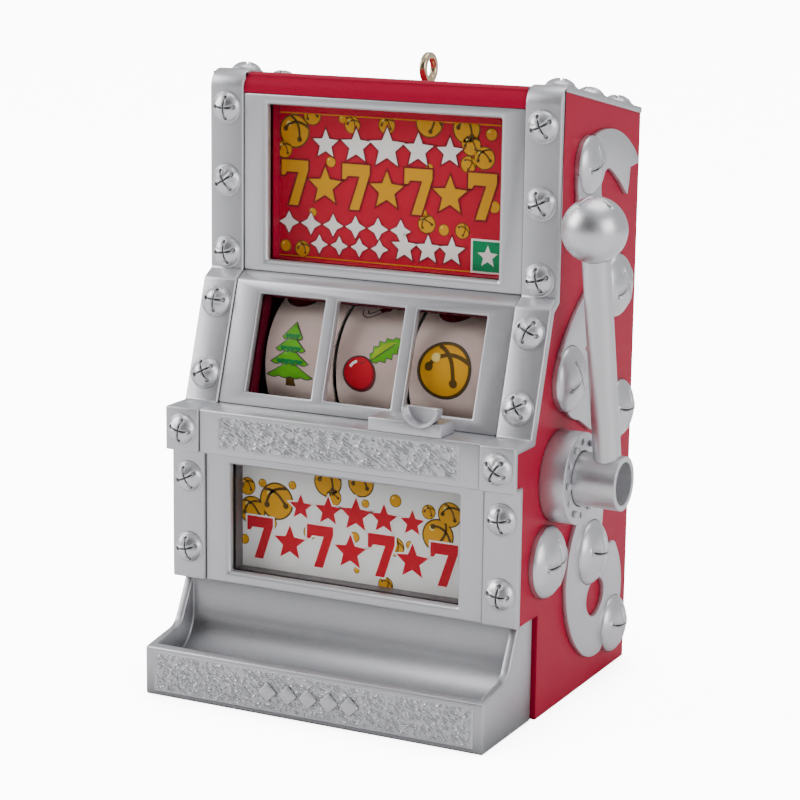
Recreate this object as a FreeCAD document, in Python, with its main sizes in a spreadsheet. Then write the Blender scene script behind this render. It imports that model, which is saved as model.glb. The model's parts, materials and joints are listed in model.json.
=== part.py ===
"""Desk slot machine: a small red cabinet with silver fronts, spinning reels and a pull lever.

Frame: +X to the lever side, which is on the right seen from the front, +Y to the back, +Z up.
The origin is the centre of the cabinet's footprint on the surface it stands on. Lengths are
millimetres and angles are degrees. Cutting tools run 1 or 2 mm past the piece that they cut.
"""
import FreeCAD, Part
import Sketcher
import math
import os
import re

from FreeCAD import Placement, Rotation, Vector


# ------------------------------------------------------------------ driving dimensions
SIZES = {
    # cabinet
    "height": 95.5, "depth": 53.62, "half_width": 29.55, "top_drop": 5.85,
    "top_round": 2.7, "wall": 1.6, "strap_width": 5.8, "strap_proud": 0.3,
    "strap_skin": 1.0, "panel_inset": 0.35, "skin": 1.5,
    # front planes, measured back from the tray's front
    "upper_setback": 21.24, "reel_setback": 19.15, "band_setback": 7.53,
    "lower_setback": 9.47,
    # depth of the straps behind each front plane
    "upper_lip": 1.3, "reel_lip": 1.45, "band_lip": 1.06, "lower_lip": 1.2,
    # heights of the front's steps
    "sign_top_gap": 3.95, "step_top": 63.97, "reel_top": 62.74, "reel_tilt": 17.65,
    "shelf_top": 44.2, "shelf_skin": 1.1, "band_bottom": 37.27, "lower_bottom": 16.5,
    # windows, panes and cards
    "window_half": 19.7, "sign_margin_top": 1.68, "sign_margin_bottom": 1.83,
    "lower_half": 19.55, "lower_margin_top": 1.8, "lower_margin_bottom": 1.95,
    "flare": 0.5, "pane": 0.6, "surround": 2.2, "card": 0.4, "pane_overlap": 1.3,
    "reel_opening": 11.6, "reel_margin_top": 1.72, "reel_margin_bottom": 2.25,
    # reels
    "opening_pitch": 13.6, "reel_pitch": 12.5, "reel_width": 11.4, "reel_radius": 10.5, "reel_rim": 1.0,
    "reel_web": 1.2, "reel_hub": 2.8, "strip": 0.15, "axle_radius": 1.25,
    "axle_height": 49.6, "reel_gap": 0.65, "running": 0.05, "star_radius": 6.0,
    "star_width": 0.5, "collar_radius": 2.3, "collar_width": 0.3,
    # reel frame
    "frame_inner": 20.0, "frame_plate": 1.0, "frame_front": 7.8, "frame_rear": 7.0,
    "frame_above": 3.0, "foot_length": 4.5, "foot_thick": 1.2, "foot_front": 4.0,
    "foot_rear": 5.0, "bar_rise": 15.6, "bar_back": 4.0, "bar_low": 12.0, "bar_radius": 1.1,
    "leaf_width": 0.3, "leaf_thick": 0.2, "leaf_gap": 0.5,
    # lever and gears
    "lever_height": 36.8, "lever_setback": 23.84, "shaft_radius": 1.5,
    "housing_radius": 7.0, "housing_depth": 4.05, "housing_wall": 1.2,
    "hub_radius": 4.1, "hub_bore": 3.28, "hub_reach": 10.75, "hub_socket": 5.0,
    "hub_gap": 0.12, "rod_radius": 2.1, "rod_offset": 8.3, "rod_lean_y": 4.68,
    "rod_lean_x": 1.55, "ball_height": 38.2, "ball_radius": 4.88,
    "gear_start": 21.6, "gear_width": 1.6, "sector_teeth": 42, "pinion_teeth": 14,
    "bush_radius": 2.6, "bush_flange": 3.6, "bush_flange_width": 1.0,
    "coil_radius": 3.0, "coil_wire": 0.7, "coil_length": 1.2, "clip_radius": 2.3,
    "clip_width": 0.6,
    # tray
    "tray_step": 0.81, "tray_lip": 7.72, "tray_rear": 17.14, "tray_wall": 1.35,
    "tray_floor": 4.4, "tray_front_wall": 1.5, "tray_roll": 6.2, "tray_back": 2.55,
    "tray_back_wall": 1.5, "tongue_lap": 0.5, "shell_gap": 0.7,
    "scoop_run": 8.2, "scoop_rise": 1.3, "scoop_round": 3.0,
    # base and back
    "base_thick": 1.6, "cover_thick": 1.6, "screw_radius": 0.9,
    "screw_head": 1.7, "screw_head_height": 0.8, "screw_length": 4.0,
    "boss_radius": 2.4,
    # bells and ribbon
    "bell_radius": 2.54, "bell_rise": 1.35, "ribbon": 0.8,
    # coin slot
    "slot_left": 5.35, "slot_width": 12.0, "slot_height": 2.0, "slot_depth": 4.6,
    "cup_radius": 2.95, "cup_depth": 2.1, "cup_centre": 13.9, "cup_wall": 0.42,
    "cup_back": 0.6, "cup_height": 4.2, "cup_front": 0.15,
    # bells: distances from the straps' steps and ends, and the side bells' share of rise
    "strap_bell_inset": 2.95, "bell_sign_low": 2.6, "bell_sign_mid": 1.9, "bell_sign_high": 6.4,
    "bell_lower_high": 4.5, "bell_lower_low": 4.94, "bell_panel_low": 4.5, "bell_panel_high": 3.66,
    "bell_top_front": 6.2, "bell_top_mid": 1.4, "bell_top_rear": 3.5, "side_bell_share": 0.42,
    # the tray's emblem and the housing's studs and small holes
    "stone": 2.2, "stone_pitch": 3.5, "stone_proud": 0.5, "stud": 0.9, "stud_rise": 0.6,
    "pin_radius": 0.5, "pin_depth": 0.8,
    # laps, clearances and screw places
    "step_lap": 0.8, "band_lap": 0.6, "boss_lap": 0.4, "boss_length": 6.0, "screw_room": 0.1,
    "cover_screw_low": 14.0, "cover_screw_high": 12.0, "base_screw_front": 12.0,
    "base_screw_rear": 12.0, "frame_screw_back": 0.5, "frame_screw_start": 0.2,
    "side_gap": 0.1, "collar_gap": 0.2, "axle_end": 1.0, "axle_tip": 0.4, "hub_face_gap": 0.15,
    "hub_floor": 2.0, "notch": 1.0, "sector_root": 2.2, "sector_hub_wall": 1.1,
    "sector_hub_step": 0.8, "stem_end": 0.9, "stem_lap": 0.3, "bush_start": 0.5, "slot_back": 0.5,
    # hanging loop
    "loop_radius": 2.5, "loop_bore": 1.4, "loop_width": 1.1, "loop_round": 0.35,
    "loop_setback": 37.8, "loop_rise": 3.1, "stem_radius": 0.7, "collar": 1.5,
    "collar_height": 0.6,
}

doc = FreeCAD.newDocument("slot_machine")

def fill_sheet(name, cells):
    """Make a spreadsheet with one named cell a row."""
    sheet = doc.addObject("Spreadsheet::Sheet", name)
    for row, (alias, content) in enumerate(cells.items(), start=1):
        sheet.set(f"A{row}", alias)
        sheet.set(f"B{row}", str(content))
        sheet.setAlias(f"B{row}", alias)
    doc.recompute()
    return sheet


def expression(text):
    """Write a formula of sizes and places the way the document's expressions want it."""
    def full_name(match):
        word = match.group(0)
        if word in SIZES:
            return f"Sizes.{word}"
        return f"Places.{word}" if word in PLACES else word
    return re.sub(r"[a-z_][a-z_0-9]*", full_name, str(text))


# ------------------------------------------------------------------ places worked out from them
PLACES = {
    "front": "-depth / 2",
    "back": "depth / 2",
    "slope": "top_drop / (depth - upper_setback)",
    "side": "half_width - strap_proud",
    "inner_side": "half_width - strap_proud - wall",
    "panel_half": "half_width - strap_width",
    "sign_top": "height - sign_top_gap",
    "upper_y": "-depth / 2 + upper_setback",
    "reel_y": "-depth / 2 + reel_setback",
    "tilt_rise": "tan(reel_tilt * 1 deg)",
    "tilt_cos": "cos(reel_tilt * 1 deg)",
    "reel_foot_y": "-depth / 2 + reel_setback - (reel_top - shelf_top) * tan(reel_tilt * 1 deg)",
    "band_y": "-depth / 2 + band_setback",
    "lower_y": "-depth / 2 + lower_setback",
    "tray_rear_y": "-depth / 2 + tray_rear",
    "tray_half": "half_width - tray_step",
    "axle_y": "-depth / 2 + reel_setback - (reel_top - axle_height) * tan(reel_tilt * 1 deg)"
              " + (panel_inset + skin + pane + reel_gap + strip + reel_radius)"
              " / cos(reel_tilt * 1 deg)",
    "lever_y": "-depth / 2 + lever_setback",
    "loop_y": "-depth / 2 + loop_setback",
    "loop_top": "height - top_drop / (depth - upper_setback) * (loop_setback - upper_setback)"
                " - strap_proud",
    "back_top": "height - top_drop",
    "reel_left_x": "-reel_pitch",
    "reel_right_x": "reel_pitch",
    "frame_outer": "frame_inner + frame_plate",
    "hub_end": "half_width - strap_proud + hub_reach",
}

sizes_sheet = fill_sheet("Sizes", SIZES)
places_sheet = fill_sheet("Places", {key: "=" + expression(text) for key, text in PLACES.items()})


def size(alias):
    """The number in a named cell of either sheet."""
    sheet = sizes_sheet if alias in SIZES else places_sheet
    return float(sheet.get(alias))


# ------------------------------------------------------------------ ways to make a piece
def bind(target, **formulas):
    """Bind properties to formulas; x, y and z stand for the place."""
    places = {"x": "Placement.Base.x", "y": "Placement.Base.y", "z": "Placement.Base.z",
              "turn": "Placement.Rotation.Angle"}
    for key, formula in formulas.items():
        target.setExpression(places.get(key, key), expression(formula))
    return target


def box(name, x, y, z, length, width, tall):
    """A block from its low corner, with every size a formula."""
    block = doc.addObject("Part::Box", name)
    return bind(block, x=x, y=y, z=z, Length=length, Width=width, Height=tall)


def tilted_box(name, x, y, z, length, width, tall):
    """A block that leans back with the reel panel, hinged on its low front edge."""
    block = doc.addObject("Part::Box", name)
    block.Placement = Placement(Vector(), Rotation(Vector(-1, 0, 0), 1))
    bind(block, x=x, y=y, z=z, Length=length, Width=width, Height=tall)
    return bind(block, turn="reel_tilt")


def rod_x(name, x, y, z, radius, length):
    """A round bar along +X that starts at the given place."""
    bar = doc.addObject("Part::Cylinder", name)
    bar.Placement = Placement(Vector(), Rotation(Vector(0, 1, 0), 90))
    return bind(bar, x=x, y=y, z=z, Radius=radius, Height=length)


def rod_y(name, x, y, z, radius, length):
    """A round bar along +Y that starts at the given place."""
    bar = doc.addObject("Part::Cylinder", name)
    bar.Placement = Placement(Vector(), Rotation(Vector(1, 0, 0), -90))
    return bind(bar, x=x, y=y, z=z, Radius=radius, Height=length)


def rod_z(name, x, y, z, radius, length):
    """A round bar along +Z that starts at the given place."""
    bar = doc.addObject("Part::Cylinder", name)
    return bind(bar, x=x, y=y, z=z, Radius=radius, Height=length)


def fuse(name, pieces):
    """Join pieces into one."""
    joined = doc.addObject("Part::MultiFuse", name)
    joined.Shapes = pieces
    joined.Refine = True
    return joined


def cut(name, base, tools):
    """Take one or more tools away from a piece."""
    tool = tools[0] if len(tools) == 1 else fuse(name + "_tools", tools)
    result = doc.addObject("Part::Cut", name)
    result.Base, result.Tool = base, tool
    return result


def group(name, pieces):
    """Keep separate solids together in one node."""
    kept = doc.addObject("Part::Compound", name)
    kept.Links = pieces
    return kept


def side_profile(name, corners, x_from, length):
    """A body padded along +X from a closed outline of (y, z) corners."""
    body = doc.addObject("PartDesign::Body", name)
    plane = next(item for item in body.Origin.OriginFeatures if item.Role == "YZ_Plane")
    sketch = body.newObject("Sketcher::SketchObject", name + "_sketch")
    sketch.AttachmentSupport = [(plane, "")]
    sketch.MapMode = "FlatFace"
    sketch.setExpression("AttachmentOffset.Base.z", expression(x_from))
    rough = [Vector(index * 3.0, (index * index) % 7 * 2.0, 0) for index in range(len(corners))]
    for index in range(len(corners)):
        follow = (index + 1) % len(corners)
        sketch.addGeometry(Part.LineSegment(rough[index], rough[follow] + Vector(0.1, 0.1, 0)), False)
    for index in range(len(corners)):
        follow = (index + 1) % len(corners)
        sketch.addConstraint(Sketcher.Constraint("Coincident", index, 2, follow, 1))
    for index, (y_formula, z_formula) in enumerate(corners):
        for kind, formula in (("DistanceX", y_formula), ("DistanceY", z_formula)):
            mark = sketch.addConstraint(Sketcher.Constraint(kind, -1, 1, index, 1, 1.0))
            sketch.setExpression(f"Constraints[{mark}]", expression(formula))
    pad = body.newObject("PartDesign::Pad", name + "_pad")
    pad.Profile = sketch
    pad.setExpression("Length", expression(length))
    return body


def round_edges(body, radius, places):
    """Round the body's long edges that pass through the given (y, z) places."""
    doc.recompute()
    tip = body.Tip
    names = []
    for index, edge in enumerate(tip.Shape.Edges, start=1):
        middle = edge.CenterOfMass
        if any(abs(middle.y - y) < 0.05 and abs(middle.z - z) < 0.05 for y, z in places):
            names.append(f"Edge{index}")
    if len(names) != len(places):
        raise ValueError(f"{body.Name}: {len(names)} of {len(places)} edges found")
    rounding = body.newObject("PartDesign::Fillet", body.Name + "_round")
    rounding.Base = (tip, names)
    rounding.setExpression("Radius", expression(radius))
    return body


def top_line(y, below="0"):
    """The height of the sloping top at y, or a plane a little below it."""
    return f"height - slope * ({y} - upper_y) - {below}"


def on_reel_panel(up, inward):
    """The (y, z) formulas of a point up the leaning panel and inward from its front plane."""
    lean = "reel_tilt * 1 deg"
    return (f"reel_foot_y + ({up}) * sin({lean}) + ({inward}) * cos({lean})",
            f"shelf_top + ({up}) * cos({lean}) - ({inward}) * sin({lean})")


# Which way a bell's dome faces: the axis and angle that turn +Z to that side.
FACING = {
    "front": (Vector(1, 0, 0), "90"),
    "panel": (Vector(1, 0, 0), "90 - reel_tilt"),
    "top": (Vector(-1, 0, 0), "atan(slope)"),
    "right": (Vector(0, 1, 0), "90"),
    "left": (Vector(0, -1, 0), "90"),
}
OUTWARD = {
    "front": ("0", "-1", "0"),
    "panel": ("0", "-tilt_cos", "tilt_cos * tilt_rise"),
    "top": ("0", "slope / sqrt(1 + slope ^ 2)", "1 / sqrt(1 + slope ^ 2)"),
    "right": ("1", "0", "0"),
    "left": ("-1", "0", "0"),
}


def dome(name, facing, x, y, z, radius, rise, sunk="0"):
    """A bell's dome: the cap of a ball, sitting on the surface that it faces away from."""
    ball = f"((({radius}) ^ 2 + ({rise}) ^ 2) / (2 * ({rise})))"
    axis, angle = FACING[facing]
    cap = doc.addObject("Part::Sphere", name)
    cap.Placement = Placement(Vector(), Rotation(axis, 1))
    away = OUTWARD[facing]
    centre = [f"({place}) - ({step}) * ({ball} - ({rise}) - ({sunk}))"
              for place, step in zip((x, y, z), away)]
    bind(cap, x=centre[0], y=centre[1], z=centre[2], Radius=ball, turn=angle)
    return bind(cap, Angle1=f"asin(({ball} - ({rise})) / {ball})")


# ------------------------------------------------------------------ cabinet
def cabinet_outline():
    """The stepped line behind the silver fronts, from the top at the front down to the floor."""
    return [
        ("upper_y + upper_lip", top_line("(upper_y + upper_lip)", "strap_skin")),
        ("upper_y + upper_lip", "step_top - step_lap"),
        ("reel_y + reel_lip", "reel_top - step_lap"),
        ("reel_foot_y + reel_lip", "shelf_top - shelf_skin"),
        ("band_y + band_lip", "shelf_top - shelf_skin"),
        ("band_y + band_lip", "band_bottom + band_lap"),
        ("lower_y + lower_lip", "band_bottom + band_lap"),
        ("lower_y + lower_lip", "lower_bottom"),
    ]


def make_shell():
    """The red cabinet: two side walls and the top, open at the front, back and underside."""
    outline = [("back", "0"), ("back", top_line("back", "strap_skin"))]
    outline += cabinet_outline()
    outline += [("tray_rear_y + shell_gap", "lower_bottom"), ("tray_rear_y + shell_gap", "0")]
    slab = side_profile("shell_slab", outline, "-side", "2 * side")
    bar = side_profile("shell_bar", [
        ("upper_y + panel_inset", "sign_top"),
        ("upper_y + panel_inset", top_line("(upper_y + panel_inset)", "strap_proud")),
        ("back", top_line("back", "strap_proud")),
        ("back", top_line("back", "(strap_skin + wall)")),
        ("upper_y + upper_lip", top_line("(upper_y + upper_lip)", "(strap_skin + wall)")),
        ("upper_y + upper_lip", "sign_top"),
    ], "-panel_half", "2 * panel_half")
    front = size("upper_y") + size("panel_inset")
    peak = size("height") - size("slope") * size("panel_inset") - size("strap_proud")
    round_edges(bar, "top_round", [(front, peak)])
    room = side_profile("shell_room", [
        ("front - 1", "-1"), ("front - 1", "sign_top"), ("upper_y + upper_lip", "sign_top"),
        ("upper_y + upper_lip", top_line("(upper_y + upper_lip)", "(strap_skin + wall)")),
        ("back + 1", top_line("(back + 1)", "(strap_skin + wall)")), ("back + 1", "-1"),
    ], "-inner_side", "2 * inner_side")
    walls = cut("shell_walls", slab, [room])
    bosses = [rod_y(f"cover_boss_{place}", x, "back - cover_thick - boss_length", z, "boss_radius",
                    "boss_length")
              for place, x, z in cover_screw_places()]
    bosses += [rod_z(f"base_boss_{place}", x, y, "base_thick", "boss_radius", "boss_length")
               for place, x, y in base_screw_places()]
    whole = fuse("shell_whole", [walls, bar] + bosses)
    holes = [rod_y(f"cover_hole_{place}", x, "back - cover_thick - screw_length", z,
                   "screw_radius", "screw_length + 1")
             for place, x, z in cover_screw_places()]
    holes += [rod_z(f"base_hole_{place}", x, y, "0", "screw_radius", "screw_length + base_thick")
              for place, x, y in base_screw_places()]
    holes.append(rod_x("bush_hole", "inner_side - 1", "lever_y", "lever_height", "bush_radius",
                       "wall + 2"))
    holes.append(rod_z("stem_hole", "0", "loop_y", "loop_top - 5", "stem_radius", "8"))
    holes.append(rod_z("collar_seat", "0", "loop_y", "loop_top - collar_height", "collar", "3"))
    return cut("cabinet_shell", whole, holes)


def cover_screw_places():
    """Where the back cover's screws sit, as (name, x, z)."""
    inset = "(boss_radius - boss_lap)"
    return [(f"{side}_{level}", f"{sign} * (inner_side - {inset})", z)
            for side, sign in (("left", "-1"), ("right", "1"))
            for level, z in (("low", "cover_screw_low"), ("high", "back_top - cover_screw_high"))]


def base_screw_places():
    """Where the base plate's screws sit, as (name, x, y)."""
    inset = "(boss_radius - boss_lap)"
    return [(f"{side}_{level}", f"{sign} * (inner_side - {inset})", y)
            for side, sign in (("left", "-1"), ("right", "1"))
            for level, y in (("front", "lower_y + base_screw_front"), ("rear", "back - base_screw_rear"))]


def make_back_cover():
    """The red plate that closes the back, with a seat for each screw head."""
    plate = box("cover_plate", "-inner_side", "back - cover_thick", "0", "2 * inner_side",
                "cover_thick", "back_top - strap_skin - wall")
    tools = []
    for place, x, z in cover_screw_places():
        tools.append(rod_y(f"cover_bore_{place}", x, "back - cover_thick - 1", z,
                           "screw_radius + screw_room", "cover_thick + 2"))
        tools.append(rod_y(f"cover_seat_{place}", x, "back - screw_head_height", z,
                           "screw_head + screw_room", "screw_head_height + 1"))
    return cut("back_cover", plate, tools)


def make_base():
    """The base plate with a tongue under the tray, screw seats and the frame's screw holes."""
    plate = box("base_sheet", "-inner_side", "tray_rear_y", "0", "2 * inner_side",
                "back - cover_thick - tray_rear_y", "base_thick")
    tongue = box("base_tongue", "-(tray_half - tray_wall)", "lower_y + tray_back + tray_back_wall", "0",
                 "2 * (tray_half - tray_wall)",
                 "tray_rear_y - lower_y - tray_back - tray_back_wall + tongue_lap", "base_thick")
    tools = []
    for place, x, y in base_screw_places():
        tools.append(rod_z(f"base_bore_{place}", x, y, "-1", "screw_radius + screw_room",
                           "base_thick + 2"))
        tools.append(rod_z(f"base_seat_{place}", x, y, "-1", "screw_head + screw_room",
                           "screw_head_height + 1"))
    for side, sign in (("left", "-1"), ("right", "1")):
        tools.append(rod_z(f"frame_hole_{side}", f"{sign} * (frame_outer + foot_length / 2)",
                           "axle_y + frame_screw_back", "-1", "screw_radius", "base_thick + 2"))
    return cut("base_plate", fuse("base_whole", [plate, tongue]), tools)


def make_screws(name, places):
    """A group of screws; each place gives a head and a shank to be joined."""
    return group(name, [fuse(f"{name}_{place}", [head, shank]) for place, head, shank in places])


def make_cover_screws():
    """The screws of the back cover."""
    return make_screws("back_screws", [
        (place,
         rod_y(f"cover_head_{place}", x, "back - screw_head_height", z, "screw_head",
               "screw_head_height"),
         rod_y(f"cover_shank_{place}", x, "back - cover_thick - screw_length", z, "screw_radius",
               "screw_length + cover_thick - screw_head_height"))
        for place, x, z in cover_screw_places()])


def make_base_screws():
    """The screws of the base plate."""
    return make_screws("base_screws", [
        (place, rod_z(f"base_head_{place}", x, y, "0", "screw_head", "screw_head_height"),
         rod_z(f"base_shank_{place}", x, y, "screw_head_height", "screw_radius",
               "screw_length + base_thick - screw_head_height"))
        for place, x, y in base_screw_places()])


# ------------------------------------------------------------------ silver fronts
def make_strap(side, sign):
    """One silver strap: a skin down the stepped front and over the top."""
    front = [("lower_y", "lower_bottom"), ("lower_y", "band_bottom"), ("band_y", "band_bottom"),
             ("band_y", "shelf_top"), ("reel_foot_y", "shelf_top"), ("reel_y", "reel_top"),
             ("upper_y", "step_top")]
    over = [("upper_y", "height"), ("back", top_line("back")),
            ("back", top_line("back", "strap_skin"))]
    inner = "panel_half" if sign > 0 else "-half_width"
    pad = side_profile(f"strap_{side}", front + over + cabinet_outline(), inner,
                       "half_width - panel_half")
    return round_edges(pad, "top_round", [(size("upper_y"), size("height"))])


def opening(name, half, low, high, y, depth):
    """A rectangular hole through a flat front, flared towards the front."""
    through = box(name + "_through", f"-({half})", f"{y} - 1", low, f"2 * ({half})",
                  f"{depth} + 2", f"({high}) - ({low})")
    flare = doc.addObject("Part::Wedge", name + "_flare")
    bind(flare, x="0", y=f"{y} - 0.01", z="0", Xmin=f"-({half}) - flare", Xmax=f"({half}) + flare",
         Zmin=f"({low}) - flare", Zmax=f"({high}) + flare", Ymin="0", Ymax="flare",
         X2min=f"-({half})", X2max=f"({half})", Z2min=low, Z2max=high)
    return [through, flare]


def make_sign_frame():
    """The upper silver frame round the sign window."""
    panel = box("sign_panel", "-panel_half", "upper_y + panel_inset", "step_top",
                "2 * panel_half", "skin", "sign_top - step_top")
    return cut("sign_frame", panel, opening(
        "sign_hole", "window_half", "step_top + sign_margin_bottom", "sign_top - sign_margin_top",
        "upper_y + panel_inset", "skin"))


def make_pane(name, half, low, high, y, thick):
    """A flat pane or card behind a window, lapping its edges."""
    return box(name, f"-({half}) - pane_overlap", y, f"({low}) - pane_overlap",
               f"2 * ({half}) + 2 * pane_overlap", thick, f"({high}) - ({low}) + 2 * pane_overlap")


def make_reel_bezel():
    """The leaning silver panel with one opening for each reel."""
    inset = "panel_inset / tilt_cos"
    deep = "(panel_inset + skin) / tilt_cos"
    panel = side_profile("reel_panel", [
        (f"reel_foot_y + {inset}", "shelf_top"), (f"reel_y + {inset}", "reel_top"),
        ("upper_y + panel_inset", "step_top"), ("upper_y + panel_inset + skin", "step_top"),
        (f"reel_y + {deep}", "reel_top"), (f"reel_foot_y + {deep}", "shelf_top"),
    ], "-panel_half", "2 * panel_half")
    y, z = on_reel_panel("reel_margin_bottom", "-1")
    tall = "(reel_top - shelf_top) / tilt_cos - reel_margin_top - reel_margin_bottom"
    holes = [tilted_box(f"reel_hole_{index}", f"{index - 1} * opening_pitch - reel_opening / 2", y, z,
                        "reel_opening", "skin + 4", tall) for index in range(3)]
    return cut("reel_bezel", panel, holes)


def make_reel_window():
    """One clear pane behind the three reel openings."""
    y, z = on_reel_panel("reel_margin_bottom - pane_overlap", "panel_inset + skin")
    return tilted_box("reel_window", "-(opening_pitch + reel_opening / 2 + pane_overlap)", y, z,
                      "2 * opening_pitch + reel_opening + 2 * pane_overlap", "pane",
                      "(reel_top - shelf_top) / tilt_cos - reel_margin_top - reel_margin_bottom"
                      " + 2 * pane_overlap")


def make_reel_surround():
    """The frame behind the reel pane that hides the reels' edges."""
    half = "(opening_pitch + reel_opening / 2)"
    tall = "(reel_top - shelf_top) / tilt_cos - reel_margin_top - reel_margin_bottom"
    y, z = on_reel_panel("reel_margin_bottom - pane_overlap", "panel_inset + skin + pane")
    ring = tilted_box("reel_surround_block", f"-{half} - pane_overlap", y, z,
                      f"2 * {half} + 2 * pane_overlap", "surround", f"{tall} + 2 * pane_overlap")
    y, z = on_reel_panel("reel_margin_bottom", "panel_inset + skin + pane - 1")
    return cut("reel_surround", ring, [
        tilted_box("reel_surround_room", f"-{half}", y, z, f"2 * {half}", "surround + 2", tall)])


def make_lower_bezel():
    """The projecting band with its shelf, and the lower frame under it."""
    reach = "reel_foot_y + (panel_inset + skin) / tilt_cos"
    panel = side_profile("lower_panel", [
        ("lower_y + panel_inset", "lower_bottom"), ("lower_y + panel_inset", "band_bottom"),
        ("band_y + panel_inset", "band_bottom"), ("band_y + panel_inset", "shelf_top"),
        (reach, "shelf_top"), (reach, "shelf_top - shelf_skin"),
        ("band_y + panel_inset + skin", "shelf_top - shelf_skin"),
        ("band_y + panel_inset + skin", "band_bottom + shelf_skin"),
        ("lower_y + panel_inset + skin", "band_bottom + shelf_skin"),
        ("lower_y + panel_inset + skin", "lower_bottom"),
    ], "-panel_half", "2 * panel_half")
    return cut("lower_bezel", panel, opening(
        "lower_hole", "lower_half", "lower_bottom + lower_margin_bottom",
        "band_bottom - lower_margin_top", "lower_y + panel_inset", "skin"))


def make_cards_and_panes():
    """The two flat windows, the frames behind them and the printed cards."""
    places = {
        "sign": ("window_half", "step_top + sign_margin_bottom", "sign_top - sign_margin_top",
                 "upper_y + panel_inset + skin"),
        "lower": ("lower_half", "lower_bottom + lower_margin_bottom",
                  "band_bottom - lower_margin_top", "lower_y + panel_inset + skin"),
    }
    pieces = []
    for name, (half, low, high, y) in places.items():
        pieces.append(make_pane(f"{name}_window", half, low, high, y, "pane"))
        block = make_pane(f"{name}_surround_block", half, low, high, f"{y} + pane", "surround")
        room = box(f"{name}_surround_room", f"-({half})", f"{y} + pane - 1", low, f"2 * ({half})",
                   "surround + 2", f"({high}) - ({low})")
        pieces.append(cut(f"{name}_surround", block, [room]))
        pieces.append(make_pane(f"{name}_card", half, low, high, f"{y} + pane + surround", "card"))
    return pieces


def make_strap_bells(side, sign):
    """The small bells down one strap and along its top."""
    x = f"{sign} * (half_width - strap_bell_inset)"
    top_back = "(depth - upper_setback)"
    places = [("front", "upper_y", "step_top + bell_sign_low"),
              ("front", "upper_y", "(step_top + height) / 2 - bell_sign_mid"),
              ("front", "upper_y", "height - bell_sign_high"),
              ("front", "band_y", "(band_bottom + shelf_top) / 2"),
              ("front", "lower_y", "band_bottom - bell_lower_high"),
              ("front", "lower_y", "lower_bottom + bell_lower_low")]
    for up in ("bell_panel_low", "(reel_top - shelf_top) / tilt_cos - bell_panel_high"):
        places.append(("panel",) + on_reel_panel(up, "0"))
    for run in ("bell_top_front", f"{top_back} / 2 + bell_top_mid", f"{top_back} - bell_top_rear"):
        y = f"(upper_y + {run})"
        places.append(("top", y, top_line(y)))
    return group(f"strap_bells_{side}", [
        dome(f"strap_bell_{side}_{index}", facing, x, y, z, "bell_radius", "bell_rise")
        for index, (facing, y, z) in enumerate(places)])


# ------------------------------------------------------------------ side bells and ribbons
# Each side bell: distance back from the upper front plane, height, radius.
SIDE_BELLS = [(10.4, 82.8, 4.4), (22.6, 62.9, 4.95), (4.6, 51.3, 5.0), (25.4, 42.9, 4.6),
              (-1.95, 24.5, 5.5), (15.4, 21.8, 5.1), (25.2, 7.55, 4.6)]

# Outlines of the flat ribbon, back from the upper front plane and up, as runs of arcs
# through a middle point (three points) or straight lines (two points).
RIBBON_TOP = [
    [(9.6, 86.2), (19.5, 87.35), (26.8, 84.6)], [(26.8, 84.6), (28.9, 83.1), (30.5, 81.25)],
    [(30.5, 81.25), (26.7, 80.85)], [(26.7, 80.85), (26.5, 79.0), (25.8, 76.75)],
    [(25.8, 76.75), (22.6, 79.2), (18.6, 81.4)], [(18.6, 81.4), (15.9, 80.9), (15.1, 78.0)],
    [(15.1, 78.0), (19.0, 71.5), (24.6, 67.0)], [(24.6, 67.0), (21.1, 60.0)],
    [(21.1, 60.0), (14.1, 58.5), (10.5, 54.9)], [(10.5, 54.9), (14.3, 46.4), (14.0, 41.6)],
    [(14.0, 41.6), (8.9, 44.2)], [(8.9, 44.2), (2.1, 48.8), (1.3, 55.5)],
    [(1.3, 55.5), (9.1, 62.6), (16.6, 66.2)], [(16.6, 66.2), (9.0, 70.5), (6.4, 78.5)],
    [(6.4, 78.5), (6.5, 83.0), (9.6, 86.2)],
]
RIBBON_LOW = [
    [(28.6, 44.5), (25.2, 35.5), (19.9, 28.0)], [(19.9, 28.0), (19.5, 24.0)],
    [(19.5, 24.0), (22.6, 21.0)], [(22.6, 21.0), (24.2, 21.5), (26.1, 20.2)],
    [(26.1, 20.2), (28.5, 14.9), (27.9, 9.5)], [(27.9, 9.5), (20.2, 4.3)],
    [(20.2, 4.3), (16.0, 4.5), (11.7, 6.7)], [(11.7, 6.7), (5.8, 17.5), (11.1, 29.5)],
    [(11.1, 29.5), (19.0, 36.0), (22.6, 46.0)], [(22.6, 46.0), (28.6, 44.5)],
]
RIBBON_EYE = (17.6, 14.0, 3.7, 3.1)


def ribbon_face(runs):
    """A flat face in the YZ plane inside a closed outline of arcs and lines."""
    edges = []
    for run in runs:
        points = [Vector(0, y, z) for y, z in run]
        edges.append(Part.Arc(*points).toShape() if len(points) == 3
                     else Part.LineSegment(*points).toShape())
    return Part.Face(Part.Wire(edges))


def side_bell_places():
    """Where the side bells sit: index, y and z formulas, radius."""
    return [(index, f"upper_y + {back}", str(z), str(radius))
            for index, (back, z, radius) in enumerate(SIDE_BELLS)]


def make_side_bells(side, sign):
    """The big bells of one side, each a short round wall under a dome."""
    bells = []
    for index, y, z, radius in side_bell_places():
        start = "side" if sign > 0 else "-side - ribbon"
        wall = rod_x(f"side_bell_wall_{side}_{index}", start, y, z, radius, "ribbon")
        cap = dome(f"side_bell_cap_{side}_{index}", side, f"{sign} * (side + ribbon)", y, z,
                   radius, f"side_bell_share * {radius}")
        bells.append(fuse(f"side_bell_{side}_{index}", [wall, cap]))
    return group(f"side_bells_{side}", bells)


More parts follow.
